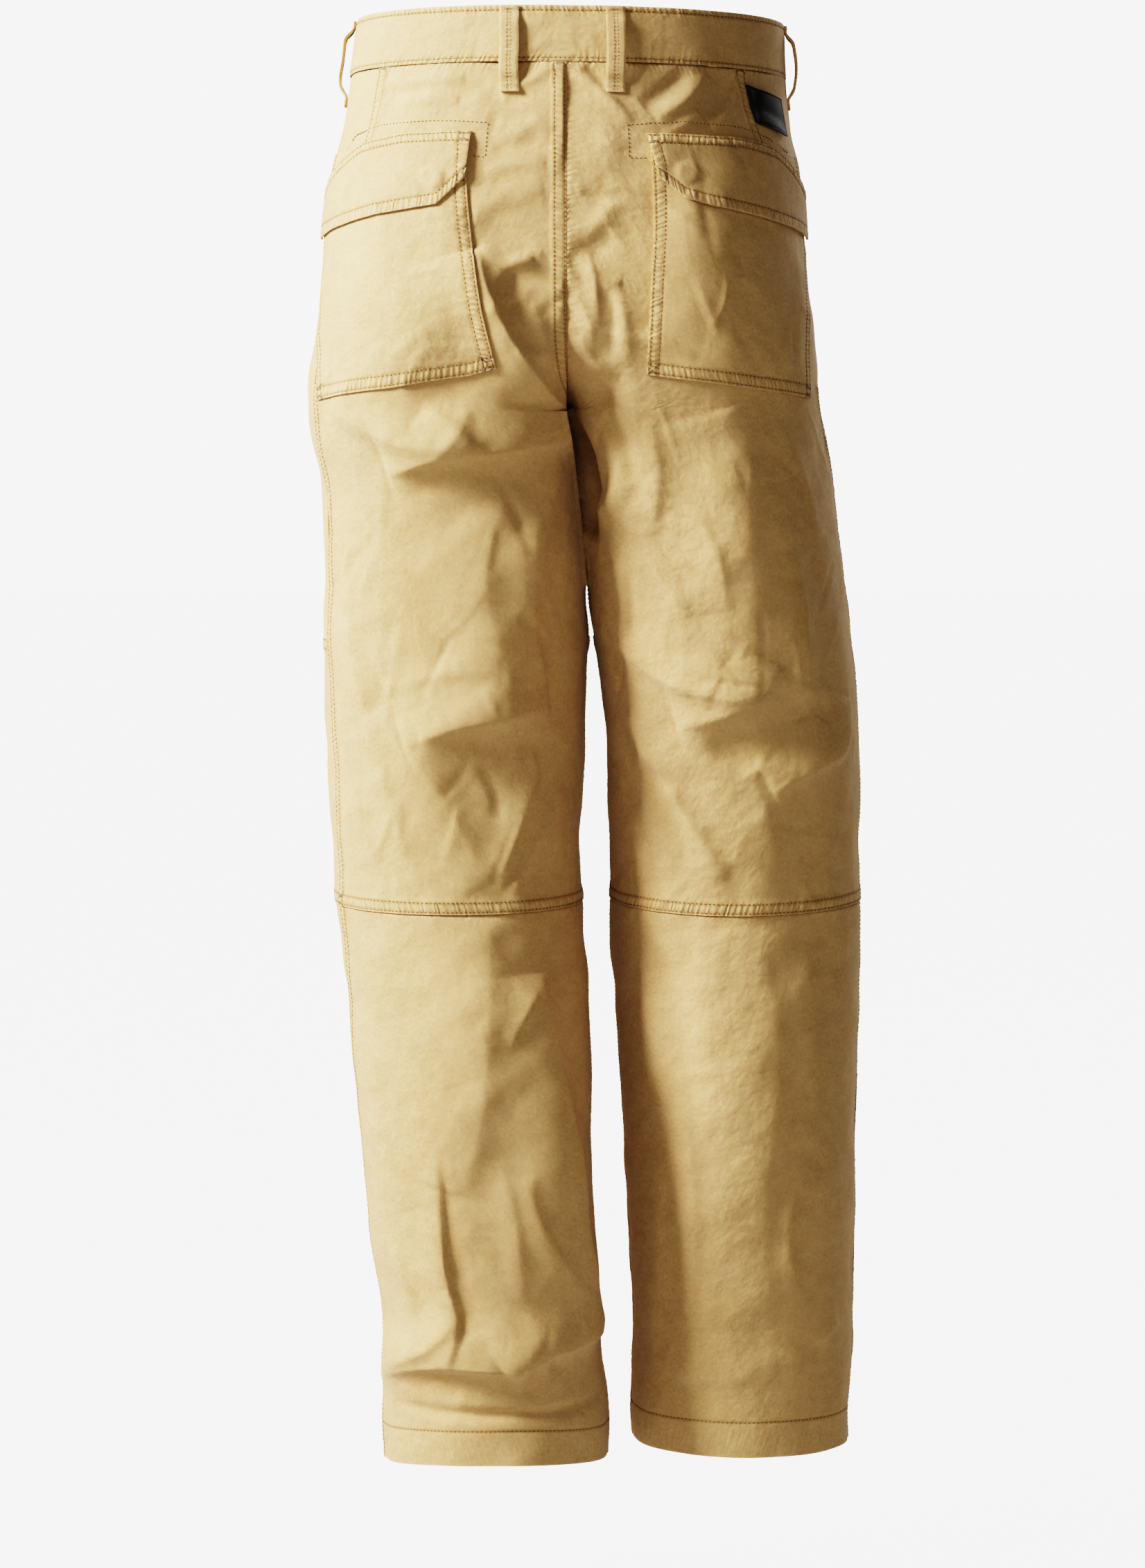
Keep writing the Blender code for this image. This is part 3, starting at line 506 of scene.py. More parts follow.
def foldHeight(points, normals, path, shape):
    high, wide, lean, crest = shape
    nearest = np.full(len(points), np.inf)
    along, side = np.zeros(len(points)), np.zeros(len(points))
    for i, (start, end) in enumerate(zip(path[:-1], path[1:])):
        run = end - start
        t = np.clip(((points - start) @ run) / (run @ run), 0, 1)
        away = points - start - t[:, None] * run
        distance = np.linalg.norm(away, axis=1)
        closer = distance < nearest
        left = np.einsum("ij,ij->i", np.cross(normals, run), away)
        side = np.where(closer, np.sign(left), side)
        along = np.where(closer, (i + t) / (len(path) - 1), along)
        nearest = np.minimum(distance, nearest)
    fade = np.clip(np.sin(math.pi * along), 0, 1) ** relief["fade"]
    power = np.where(side * lean > 0, crest, 2)
    fall = np.exp(-(nearest / (wide * (1 - lean * side))) ** power)
    return relief["deep"] * high * fade * fall


def addFold(height, points, normals, path, shape, reach):
    near = ((points > path.min(0) - reach) & (points < path.max(0) + reach)).all(-1)
    if near.any():
        height[near] += foldHeight(points[near], normals[near], path, shape)


def foldRelief(half, points, normals):
    height = np.zeros(points.shape[:-1])
    for path, shape in foldPaths[half]:
        addFold(height, points, normals, path, shape, relief["reach"] * shape[1])
    return height


creases = {
    "count": 170, "seed": 17, "reach": 16,
    "length": (18, 60), "wide": (2.2, 5.0), "high": (0.3, 0.85), "lean": (-0.5, 0.5), "crest": 1.6,
    "turn": 0.7, "bend": 0.15, "degrees": (15, 165), "rounding": 90,
    "calm": {"left": 0.2, "right": 0.15}, "calmFrom": 600, "calmOver": 60,
}


def creaseRelief(half, points, normals):  # short fine creases, many upright and some slanting
    chance = np.random.default_rng(creases["seed"] + len(half))
    height = np.zeros(points.shape[:-1])
    length = body["length"][half]
    for _ in range(creases["count"]):
        drop, degrees = chance.uniform(50, length - 40), chance.uniform(*creases["degrees"])
        long, turn = chance.uniform(*creases["length"]), chance.normal(0, creases["turn"])
        bend = chance.normal(0, creases["bend"])
        steps = np.linspace(-0.5, 0.5, 7) * long
        drops = np.clip(drop + steps * math.cos(turn), 45, length - 30)
        swing = steps * math.sin(turn) + bend * steps ** 2 / long
        angles = np.radians(degrees) + swing / creases["rounding"]
        calmed = smooth((drop - creases["calmFrom"]) / creases["calmOver"])
        ease = 1 + (creases["calm"][half] - 1) * calmed
        high = ease * chance.choice([-1, 1]) * chance.uniform(*creases["high"])
        wide, lean = chance.uniform(*creases["wide"]), chance.uniform(*creases["lean"])
        path = plainForm(half, drops, np.sign(points[..., 1].mean()) * angles)
        addFold(height, points, normals, path, (high, wide, lean, creases["crest"]),
                creases["reach"])
    return height


drape = {"waves": 34, "shortest": 22, "longest": 95, "high": 0.24, "seed": {"left": 5, "right": 11}}


def drapeRelief(half, points):  # the cloth's own soft unevenness
    chance = np.random.default_rng(drape["seed"][half])
    relief = np.zeros(points.shape[:-1])
    for _ in range(drape["waves"]):
        size = math.exp(chance.uniform(math.log(drape["shortest"]), math.log(drape["longest"])))
        way = unit(chance.normal(size=3)) * 2 * math.pi / size
        relief += size / drape["longest"] * np.sin(points @ way + chance.uniform(0, 2 * math.pi))
    return drape["high"] * relief


def puckers(along, away, pitch, seed):  # uneven ripples across a seam, about -1 to 1
    chance = np.random.default_rng(seed)
    total = 0
    for share in (1.0, 0.7, 1.4, 0.85, 2.1):
        slant, start = chance.uniform(-0.9, 0.9), chance.uniform(0, 2 * math.pi)
        total = total + np.sin(2 * math.pi * (along + slant * away) / (pitch * share) + start)
    slow = np.sin(2 * math.pi * along / (pitch * 6.3) + chance.uniform(0, 2 * math.pi))
    return total / 3 * (0.7 + 0.3 * slow)


def spaced(length, coarse, lines=(), fine=0.8, growth=0.16, multiple=3):
    # places from 0 to length, close together at both ends and near the lines
    at = np.linspace(0, length, 2401)
    nearest = np.min([np.abs(at - line) for line in (0, length, *lines)], axis=0)
    density = 1 / np.minimum(coarse, fine + growth * nearest)
    count = np.concatenate([[0], np.cumsum((density[1:] + density[:-1]) / 2 * np.diff(at))])
    cells = multiple * math.ceil(count[-1] / multiple)
    return np.interp(np.linspace(0, count[-1], cells + 1), count, at)


def evenRuns(half, drops, start, end, samples=121):
    # angles from start to end on each row, and the length of cloth up to each
    share = np.linspace(0, 1, samples)
    angle = start[:, None] + (end - start)[:, None] * share
    points = plainForm(half, drops[:, None] + 0 * angle, angle)
    steps = np.linalg.norm(np.diff(points, axis=1), axis=-1)
    return angle, np.concatenate([0 * drops[:, None], np.cumsum(steps, axis=1)], axis=1)


def gridNormals(points, towards):
    normals = unit(np.cross(np.gradient(points, axis=0), np.gradient(points, axis=1)))
    agree = np.einsum("ijk,ijk->ij", normals, towards).mean()
    return normals if agree > 0 else -normals


def middleX(drop):  # the plane between the halves
    between = (sizeAt("left", "inner", drop) - sizeAt("right", "inner", drop)) / 2
    return np.where(drop <= body["crotch"], 0, between)


def keepApart(half, drop, points):  # the halves stay clear of each other
    between = middleX(drop)
    room = outward[half] * (points[..., 0] - between)
    points[..., 0] = between + outward[half] * np.maximum(room, body["seamGap"] / 2)
    return points


def inset(points):  # draws the border in by half a seam gap
    drawn = points.copy()
    for here, inside in ((0, 1), (-1, -2)):
        drawn[here] += unit(points[inside] - points[here]) * body["seamGap"] / 2
        drawn[:, here] += unit(points[:, inside] - points[:, here]) * body["seamGap"] / 2
    return drawn


seamLook = {
    "pulled": 0.42, "pulledWidth": 0.8, "pulledPaintedShade": 0.85,  # along each row of stitches, with painted shade in its groove
    # ripple crests lighter with wear and troughs darker as painted shade; the edge itself lighter
    # with wear
    "ripplePitch": 5.6, "rippleReach": 11, "rippleWearAndShade": 0.15, "slant": 0.3, "edgeTone": 0.3,
}


class Cloth:  # a grid of cloth: its outer points, directions out and what its finish reads
    def __init__(self, half, drop, run, width):
        self.half, self.drop, self.run, self.width = half, drop, run, width
        self.tone = np.full(drop.shape, 0.5)
        self.ladder, self.rung = np.zeros(drop.shape), np.zeros(drop.shape)

    def shaped(self, angle):  # laid over the form, with its folds
        self.plain = plainForm(self.half, self.drop, angle)
        self.plainOut = plainNormals(self.half, self.drop, angle)
        self.relief = foldRelief(self.half, self.plain, self.plainOut) \
            + drapeRelief(self.half, self.plain) \
            + creaseRelief(self.half, self.plain, self.plainOut)
        return self

    def seam(self, away, along, rows, pucker, seed, proud=0.0, where=1.0, rungs=1.0):
        # a sewn edge: its raised turning, the pull of each row of stitches, its puckers
        look, edge = seamLook, rows[-1] + 1.5
        turned = smooth((edge + 1.2 - away) / 2.0) * smooth((away + 1.4) / 1.8)
        self.relief += where * proud * turned
        pulled = sum(np.exp(-((away - row) / look["pulledWidth"]) ** 2) for row in rows)
        self.relief -= where * look["pulled"] * pulled
        between = bell((away - edge / 2) / (edge / 2 + 1.0))
        ripple = puckers(along, away, look["ripplePitch"], seed)
        wide = np.exp(-(away / look["rippleReach"]) ** 2)
        self.relief += where * pucker * ripple * (0.4 * between + 0.35 * wide)
        # painted shade along each row of stitches, or along the edge where none are sewn, and in
        # the ripple troughs; lighter worn crests and edges
        self.tone += where * (look["rippleWearAndShade"] * between * ripple - look["pulledPaintedShade"] * pulled
                              + look["edgeTone"] * np.exp(-(away / 1.2) ** 2))
        strength = rungs * where * np.clip(between + 0.3 * np.exp(-(away / 9) ** 2), 0, 1)
        place = along + look["slant"] * away + 131 * seed
        self.rung = np.where(strength > self.ladder, place, self.rung)
        self.ladder = np.maximum(strength, self.ladder)

    def settle(self, lift=0.0):
        self.points = self.plain + (self.relief + lift)[..., None] * self.plainOut
        self.points = keepApart(self.half, self.drop, self.points)
        x, between = self.points[..., 0], middleX(self.drop)
        pressed = (self.drop > body["crotch"]) & (self.drop < body["apart"])
        pressed &= np.abs(x - between) < body["pressReach"]
        self.points[..., 0] = np.where(pressed, between + outward[self.half] * body["pressGap"], x)
        self.out = gridNormals(self.points, self.plainOut)

    def closeCentre(self):  # the halves meet on the centre plane above the crotch
        above = self.drop[:, -1:] < body["crotch"]
        away = self.width - self.run
        near = smooth(1 - away / body["centreReach"])
        self.points[..., 0] -= np.where(above, self.points[:, -1:, 0], 0) * near
        tucked = smooth(1 - away / body["centreTuck"]) * np.where(above, 1, 0)
        level = self.plain + body["centreLevel"] * self.plainOut  # the edge itself runs smooth
        self.points[..., 1] += tucked * (level[..., 1] - self.points[..., 1])
        self.out = gridNormals(self.points, self.plainOut)

    def line(self, reading, at, keep=None):  # stitches where a reading equals a value
        return crossings(self.points, self.out, reading, at, keep)

    def column(self, reading, at):  # the same, for a reading that grows down the cloth
        turned = (np.swapaxes(grid, 0, 1) for grid in (self.points, self.out, reading))
        return crossings(*turned, at)


def crossings(grid, directions, reading, at, keep=None):
    # points and directions where a reading of the grid equals a value, row by row
    points, outs = [], []
    for i, row in enumerate(reading):
        if (keep is None or keep[i]) and row.min() <= at <= row.max():
            rising = 1 if row[-1] > row[0] else -1
            spot = np.interp(rising * at, rising * row, np.arange(len(row)))
            j = min(int(spot), len(row) - 2)
            t = spot - j
            points.append(grid[i, j] * (1 - t) + grid[i, j + 1] * t)
            outs.append(directions[i, j] * (1 - t) + directions[i, j + 1] * t)
    return np.array(points), np.array(outs)


underStep = 3  # the hidden face of a piece of cloth has every third point


def clothMesh(name, cloth, wall, material, turning=None):
    # a closed thin shell. A turning carries the border of its hidden face on behind the next
    # piece: up, and past the side and centre by a share of each row.
    outer = inset(cloth.points)
    wall = np.broadcast_to(wall, cloth.drop.shape)
    inner = keepApart(cloth.half, cloth.drop, outer - cloth.out * wall[..., None])
    if turning:
        reach = turning["reach"]
        inner[0, :, 2] += reach
        for here, inside, share in ((0, 1, turning["side"]), (-1, -2, turning["centre"])):
            past = reach * unit(outer[:, here] - outer[:, inside])
            inner[:, here] += share[:, None] * (past - turning["deep"] * cloth.out[:, here])
    return shellMesh(name, outer, inner, cloth, material)


def addPiece(name, points, faces, material):
    mesh = bpy.data.meshes.new(name)
    mesh.from_pydata((np.asarray(points, float) * mm).tolist(), [], faces)
    mesh.shade_smooth()
    mesh.materials.append(material)
    piece = bpy.data.objects.new(name, mesh)
    bpy.context.scene.collection.objects.link(piece)
    return piece


def shellMesh(name, outer, inner, cloth, material):
    def under(grid):
        return grid[::underStep, ::underStep]

    def quads(index):
        cells = index[:-1, :-1], index[1:, :-1], index[1:, 1:], index[:-1, 1:]
        return np.stack(cells, axis=-1).reshape(-1, 4)

    def border(index):
        return np.concatenate([index[0, :-1], index[:-1, -1], index[-1, :0:-1], index[:0:-1, 0]])

    def both(values, hidden=1.0):  # a reading on the outer points and on the hidden ones
        size = 3 if values.ndim == 3 else 1
        return np.concatenate([values.reshape(-1, size), hidden * under(values).reshape(-1, size)])

    top = np.arange(cloth.drop.size).reshape(cloth.drop.shape)
    low = top.size + np.arange(under(top).size).reshape(under(top).shape)
    faces = quads(top).tolist() + quads(low)[:, ::-1].tolist()
    rim, hidden = border(top), border(low)
    for k in range(len(hidden)):
        span = [int(rim[(k * underStep + m) % len(rim)]) for m in range(underStep + 1)]
        faces.append(span + [int(hidden[(k + 1) % len(hidden)]), int(hidden[k])])
    down, across = outer[1, 0] - outer[0, 0], outer[1, 1] - outer[0, 0]
    if np.dot(np.cross(down, across), cloth.out[0, 0]) < 0:
        faces = [face[::-1] for face in faces]
    points = np.concatenate([outer.reshape(-1, 3), under(inner).reshape(-1, 3)])
    piece = addPiece(name, points, faces, material)
    mesh = piece.data
    for label, share in (("tone", 1.0), ("ladder", 0.0), ("rung", 1.0)):
        values = both(getattr(cloth, label), share).ravel()
        mesh.attributes.new(label, "FLOAT", "POINT").data.foreach_set("value", values)
    grain = both(np.stack([cloth.run, cloth.drop, 0 * cloth.drop], axis=-1))
    mesh.attributes.new("grain", "FLOAT_VECTOR", "POINT").data.foreach_set("vector", grain.ravel())
    mesh.set_sharp_from_angle(angle=math.radians(58))
    mesh.validate()
    return piece


def settlePiece(piece, slot, *nodes):
    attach(piece, "root")
    if nodes:
        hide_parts(*nodes)
    return piece


stitch = {
    "pitch": 3.1, "gap": 0.9, "radius": 0.4, "sunk": 0.08,
    # place along the stitch, width and height of each ring
    "rings": ((-0.5, 0.0, -0.9), (-0.36, 0.8, -0.1), (0.0, 1.0, 0.45), (0.36, 0.8, -0.1),
              (0.5, 0.0, -0.9)),
}


def resample(points, outs, pitch):  # a stitch's middle, way out and way along, at each pitch
    steps = np.linalg.norm(np.diff(points, axis=0), axis=1)
    run = np.concatenate([[0], np.cumsum(steps)])
    at = np.arange(pitch / 2, run[-1], pitch)
    read = [np.stack([np.interp(at, run, table[:, k]) for k in range(3)], axis=1)
            for table in (points, outs)]
    ahead = np.stack([np.interp(at + 0.5, run, points[:, k]) for k in range(3)], axis=1)
    behind = np.stack([np.interp(at - 0.5, run, points[:, k]) for k in range(3)], axis=1)
    return read[0], unit(read[1]), unit(ahead - behind)


def stitchMesh(name, lines, material, slot, pitch=None, radius=None):
    # each stitch is a small bowed capsule that dips into the cloth at both ends
    pitch, radius = pitch or stitch["pitch"], radius or stitch["radius"]
    points, faces = [], []
    length = pitch - stitch["gap"]
    for line in lines:
        if len(line[0]) < 2:
            continue
        for middle, out, way in zip(*resample(*line, pitch)):
            aside = np.cross(out, way)
            start = len(points)
            for place, wide, high in stitch["rings"]:
                hub = middle + way * place * length + out * (high * radius - stitch["sunk"])
                if wide == 0:
                    points.append(hub)
                else:
                    points += [hub + radius * wide * (math.cos(a) * aside + math.sin(a) * out)
                               for a in (0, math.pi / 2, math.pi, 3 * math.pi / 2)]
            for k in range(4):
                n = (k + 1) % 4
                faces.append((start, start + 1 + n, start + 1 + k))
                for ring in (1, 5):
                    faces.append((start + ring + k, start + ring + n,
                                  start + ring + 4 + n, start + ring + 4 + k))
                faces.append((start + 13, start + 9 + k, start + 9 + n))
    return settlePiece(addPiece(name, points, faces, material), slot)


# For each panel: its drops, its face, the grid's coarse spacing and its sewn edges.
# An edge's rows are how far in its stitches run, and proud is how far it stands up.
panels = {
    "back_upper": {"from": "waistSeam", "to": "kneeSeam", "face": 1, "cell": 1.9, "edges": {
        "top": {"rows": (), "pucker": 0.35},
        "bottom": {"rows": (1.6, 8.2), "proud": 0.9, "pucker": 0.3},
        "side": {"rows": (1.6, 8.0), "proud": 0.8, "pucker": 0.4},
        "centre": {"rows": (1.6, 8.6), "proud": 0.8, "pucker": 0.5, "to": "crotch", "only": "left"},
    }},
    "back_lower": {"from": "kneeSeam", "to": "length", "face": 1, "cell": 1.9, "edges": {
        "top": {"rows": (), "pucker": 0.12, "rungs": 0.4},
        "bottom": {"rows": (25,), "pucker": 0.15, "rungs": 0.25},
        "side": {"rows": (1.6, 8.0), "proud": 0.8, "pucker": 0.4},
    }},
    "front_upper": {"from": "waistSeam", "to": "kneeTop", "face": -1, "cell": 2.6, "edges": {
        "top": {"rows": (), "pucker": 0.35},
        "bottom": {"rows": (), "pucker": 0.35},
        "centre": {"rows": (1.6, 8.0), "proud": 0.8, "pucker": 0.4},
    }},
    "front_knee": {"from": "kneeTop", "to": "kneeSeam", "face": -1, "cell": 2.6, "edges": {
        "top": {"rows": (1.6, 8.2), "proud": 0.9, "pucker": 0.3},
        "bottom": {"rows": (1.6, 8.2), "proud": 0.9, "pucker": 0.3},
        "centre": {"rows": (1.6, 8.0), "proud": 0.8, "pucker": 0.4},
    }},
    "front_lower": {"from": "kneeSeam", "to": "length", "face": -1, "cell": 2.6, "edges": {
        "top": {"rows": (), "pucker": 0.12, "rungs": 0.4},
        "bottom": {"rows": (25,), "pucker": 0.15, "rungs": 0.25},
        "centre": {"rows": (1.6, 8.0), "proud": 0.8, "pucker": 0.4},
    }},
}


sewing = {
    "seed": {"left": 4, "right": 44}, "other": {"rows": (), "pucker": 0.4},
    "calm": 0.85,  # how much a pocket calms what lies under it
    "fade": 8, "start": 1.5, "secondRowFrom": 100,
    "turning": {"reach": 1.8, "deep": 0.35},
}


def levelDrop(half, name):
    return body["length"][half] if name == "length" else body[name]


def halfGrid(half, drops, face, places, width):
    # a panel's grid: even places across it, from the side seam to the centre
    side, centre = sideAngle(half, drops), centreAngle(half, drops, face)
    angle, run = evenRuns(half, drops, side, centre)
    share = places / width
    angles = np.stack([np.interp(share * r[-1], r, a) for a, r in zip(angle, run)])
    drop = np.repeat(drops[:, None], len(places), 1)
    return Cloth(half, drop, share * run[:, -1:], run[:, -1:]).shaped(angles)


def makePanel(half, kind):
    spec, name = panels[kind], "{}_{}".format(kind, half)
    top, bottom = levelDrop(half, spec["from"]), levelDrop(half, spec["to"])
    lines = (bottom - top - body["hemFold"],) if spec["to"] == "length" else ()
    drops = top + spaced(bottom - top, spec["cell"], lines)
    middle = (top + bottom) / 2 + np.zeros(1)
    centre = centreAngle(half, middle, spec["face"])
    width = evenRuns(half, middle, sideAngle(half, middle), centre)[1][0, -1]
    cloth = halfGrid(half, drops, spec["face"], spaced(width, spec["cell"]), width)
    away = {"top": cloth.drop - top, "bottom": bottom - cloth.drop,
            "side": cloth.run, "centre": cloth.width - cloth.run}
    calm = underPocket(cloth)
    for seed, (edge, sewn) in enumerate(spec["edges"].items(), sewing["seed"][half]):
        if sewn.get("only", half) != half:
            sewn = sewing["other"]
        where = 1 - sewing["calm"] * calm
        if "to" in sewn:
            level = levelDrop(half, sewn["to"]) - cloth.drop
            where = where * smooth(1 + level / sewing["fade"])
        along = cloth.drop if edge in ("side", "centre") else cloth.run
        cloth.seam(away[edge], along, sewn["rows"] or (0.0,), sewn["pucker"], seed,
                   sewn.get("proud", 0), where, sewn.get("rungs", 1.0))
    cloth.settle()
    if "upper" in kind:
        cloth.closeCentre()
    wall = np.full(cloth.drop.shape, body["cloth"], float)
    if spec["to"] == "length":
        wall[bottom - cloth.drop < body["hemFold"]] = body["hemCloth"]
    behind = np.full(len(drops), 1.0 if spec["face"] > 0 else 0.0)
    ahead = np.where(drops < body["crotch"], 1.0 if half == "left" else 0.0, behind)
    turning = {**sewing["turning"], "side": behind, "centre": ahead}
    piece = clothMesh(name + "_cloth", cloth, wall, panelTwill, turning)
    settlePiece(piece, "panel_cloth", name)
    # rows of stitches along its edges
    down = cloth.drop[:, 0]
    rows = [rowOver(cloth, facings[half])] if kind == "back_upper" else []
    for edge, sewn in spec["edges"].items():
        for row in sewn["rows"] if sewn.get("only", half) == half else ():
            if edge in ("top", "bottom"):
                rows.append(cloth.column(away[edge], row))
                continue
            keep = down > top + sewing["start"]
            if "to" in sewn:
                keep &= down < levelDrop(half, sewn["to"])
            if edge == "side":
                keep &= (calm[:, 0] < 0.5) & ((row < 2) | (down > sewing["secondRowFrom"]))
            rows.append(cloth.line(away[edge], row, keep))
    stitchMesh(name + "_stitches", rows, sewingThread, "trim_cloth")
    sizes = float(cloth.width.max() * mm), float((bottom - top) * mm)
    print(name, len(piece.data.polygons), "faces, flat", [round(s, 3) for s in sizes])


def rowOver(cloth, path):  # a row of stitches along (x, drop) points of the back
    x, drop = np.array(path, float).T
    at = np.linspace(0, len(x) - 1, 40 * len(x))
    x, drop = np.interp(at, np.arange(len(x)), x), np.interp(at, np.arange(len(x)), drop)
    flat = plainForm(cloth.half, drop, angleAtX(cloth.half, drop, outward[cloth.half] * x))
    spots = [np.argmin(((cloth.plain - point) ** 2).sum(-1)) for point in flat]
    lift = np.einsum("ijk,ijk->ij", cloth.points - cloth.plain, cloth.plainOut).ravel()[spots]
    outs = cloth.out.reshape(-1, 3)[spots]
    return flat + lift[:, None] * outs, outs


# the stitches that hold the pocket's inner part, seen above each flap
facings = {
    "left": ((159, 99), (149, 86), (129, 81), (91, 81), (54, 83), (56, 107), (65, 106)),
    "right": ((-156, 96), (-141, 88), (-121, 82), (-79, 81), (-42, 84), (-43, 107), (-55, 107)),
}


# Edges run through (x, drop) on the back. top and bottom give a drop at shares of the way
# from the inner edge to the end at the side.
pockets = {
    "left": {
        "inner": ((68, 97), (68, 130), (65, 164), (58, 212), (49, 250)),
        "endsAtY": 24, "endsAtX": 174, "seed": 21,
        "top": ((0, 97), (1, 97)), "bottom": ((0, 250), (0.13, 256.5), (0.5, 264.5), (1, 272)),
        "mitre": ((50, 250), (58, 242)),
    },
    "right": {
        "inner": ((-57, 97), (-59.5, 140), (-57.5, 198), (-55, 256)),
        "endsAtY": 27, "endsAtX": 169, "seed": 31,
        "top": ((0, 97), (1, 97)), "bottom": ((0, 256), (0.24, 260), (0.6, 266), (1, 271)),
        "mitre": ((-56, 255), (-64, 248)),
    },
    # how far in the rows of stitches run, and how much each edge puckers
    "edges": {"bottom": ((2.0, 8.6), 0.45), "inner": ((2.0, 8.2), 0.4),
              "end": ((2.0, 7.6), 0.35)},
    "size": (165, 150), "cells": (1.5, 1.5), "rim": 0.4,
}
flaps = {
    "left": {
        "inner": ((65, 89), (69, 122)), "endsAtY": 18, "seed": 51,
        "top": ((0, 89), (0.35, 89), (0.6, 93), (0.8, 106), (1, 122)),
        "bottom": ((0, 122), (0.13, 140), (0.35, 144.5), (0.65, 151), (1, 157)),
        "button": (91, 122, 1.8),  # felt through the flap: x, drop and how high it pushes up
    },
    "right": {
        "inner": ((-54, 90), (-63, 121)), "endsAtY": 20, "seed": 61,
        "top": ((0, 90), (0.45, 90), (0.65, 95), (0.82, 108), (1, 122)),
        "bottom": ((0, 121), (0.12, 136), (0.25, 141), (0.6, 149.5), (1, 156.5)),
        "button": (-82, 118, 1.1),
    },
    "edges": {"top": ((1.6, 7.6), 0.5), "inner": ((8.0,), 0.35), "bottom": ((7.6,), 0.5)},
    "size": (56, 150), "cells": (1.2, 1.3), "rim": 0.5,
    # how far the flap bags out, where across it and above its lower edge, and how widely
    "bag": 0.5, "bagAcross": (0.45, 0.6), "bagUp": (12, 18), "buttonRadius": 7.5,
}
layers = {"gap": 0.4, "pocket": 1.5, "flap": 1.8, "label": 1.0, "fly": 1.2, "pocketTop": 97}
under = {"top": 92, "bottom": 262, "in": 3, "end": 2}  # the ground that a pocket calms


def underPocket(cloth):  # 1 where a pocket lies on the cloth
    spec = pockets[cloth.half]
    x = cloth.plain[..., 0] * outward[cloth.half]
    back = cloth.plain[..., 1] > spec["endsAtY"] + under["end"]
    edge = np.interp(cloth.drop, *zip(*[(d, abs(e)) for e, d in spec["inner"]]))
    down = (cloth.drop > under["top"]) & (cloth.drop < under["bottom"])
    return ((x > edge + under["in"]) & back & down).astype(float)


def angleAtY(half, drop, y):  # the angle near the side where the form is at that Y
    _, _, _, back, front = sectionAt(half, drop)
    middle = (back + front) / 2
    sine = signedPower((y - middle) / (back - middle), body["square"] / 2)
    return np.arcsin(np.clip(sine, -1, 1))


def patchGrid(half, spec, size, cells):
    # a pocket or flap; the run is from its inner edge
    rows, columns = (spaced(whole, cell) / whole for whole, cell in zip(size, cells))
    xs, drops = np.array(spec["inner"], float).T
    highest, lowest = min(b for _, b in spec["top"]) - 1, max(b for _, b in spec["bottom"]) + 1
    levels = np.linspace(highest, lowest, 60)
    x = np.interp(levels, drops, xs) if len(drops) == 2 else through(drops, xs, levels)
    start = angleAtX(half, levels, outward[half] * x)
    end = angleAtY(half, levels, spec["endsAtY"] + 0 * levels)
    if "endsAtX" in spec:
        end = np.maximum(end, angleAtX(half, levels, spec["endsAtX"] + 0 * levels))
    angle, run = evenRuns(half, levels, start, end)
    even = np.linspace(0, 1, angle.shape[1])
    angle = np.stack([np.interp(even * r[-1], r, a) for a, r in zip(angle, run)])
    top = np.interp(columns, *zip(*spec["top"]))
    bottom = np.interp(columns, *zip(*spec["bottom"]))
    drop = top + (bottom - top) * rows[:, None]
    row = np.interp(drop, levels, np.arange(len(levels)))
    i = np.minimum(row.astype(int), len(levels) - 2)
    spot = columns * (angle.shape[1] - 1)
    j = np.minimum(spot.astype(int), angle.shape[1] - 2)
    t, u = row - i, spot - j
    angles = (angle[i, j] * (1 - u) + angle[i, j + 1] * u) * (1 - t) \
        + (angle[i + 1, j] * (1 - u) + angle[i + 1, j + 1] * u) * t
    width = np.interp(drop, levels, run[:, -1])
    return Cloth(half, drop, width * columns, width).shaped(angles)


def edgeDistances(cloth):  # how far each point is from the four edges, along the grid
    down = np.linalg.norm(np.diff(cloth.plain, axis=0), axis=-1)
    down = np.concatenate([0 * down[:1], np.cumsum(down, axis=0)])
    over = np.linalg.norm(np.diff(cloth.plain, axis=1), axis=-1)
    over = np.concatenate([0 * over[:, :1], np.cumsum(over, axis=1)], axis=1)
    return {"top": down, "bottom": down[-1:] - down, "inner": over, "end": over[:, -1:] - over}


def sewPatch(cloth, edges, seed):  # puckers on the given edges
    away = edgeDistances(cloth)
    for k, (edge, (rows, pucker)) in enumerate(edges.items()):
        along = away["inner"] if edge in ("top", "bottom") else away["top"]
        cloth.seam(away[edge], along, rows, pucker, seed + k)
    return away


def patchStitches(name, cloth, away, edges, slot, lines):
    for edge, (rows, _) in edges.items():
        for row in rows:
            follow = cloth.line if edge in ("inner", "end") else cloth.column
            points, outs = follow(away[edge], row)
            lines.append((points[1:-1], outs[1:-1]))
    stitchMesh(name, lines, sewingThread, slot)


def roundedRim(away, edges, deep=0.5):  # the outer face turns down at its edges
    nearest = np.min([away[edge] for edge in edges], axis=0)
    return -deep * np.exp(-(nearest / 0.7) ** 2)


def makePocket(half):
    spec, edges, name = pockets[half], pockets["edges"], "hip_pocket_" + half
    cloth = patchGrid(half, spec, pockets["size"], pockets["cells"])
    away = sewPatch(cloth, edges, spec["seed"])
    cloth.settle(layers["gap"] + layers["pocket"] + roundedRim(away, away, pockets["rim"]))
    piece = clothMesh(name + "_cloth", cloth, layers["pocket"] - 0.1, pocketTwill)
    settlePiece(piece, "pocket_cloth", name)
    mitre = rowOver(cloth, spec["mitre"])
    patchStitches(name + "_stitches", cloth, away, edges, "pocket_cloth", [mitre])
    sizes = float(cloth.width.max() * mm), float(away["top"].max() * mm)


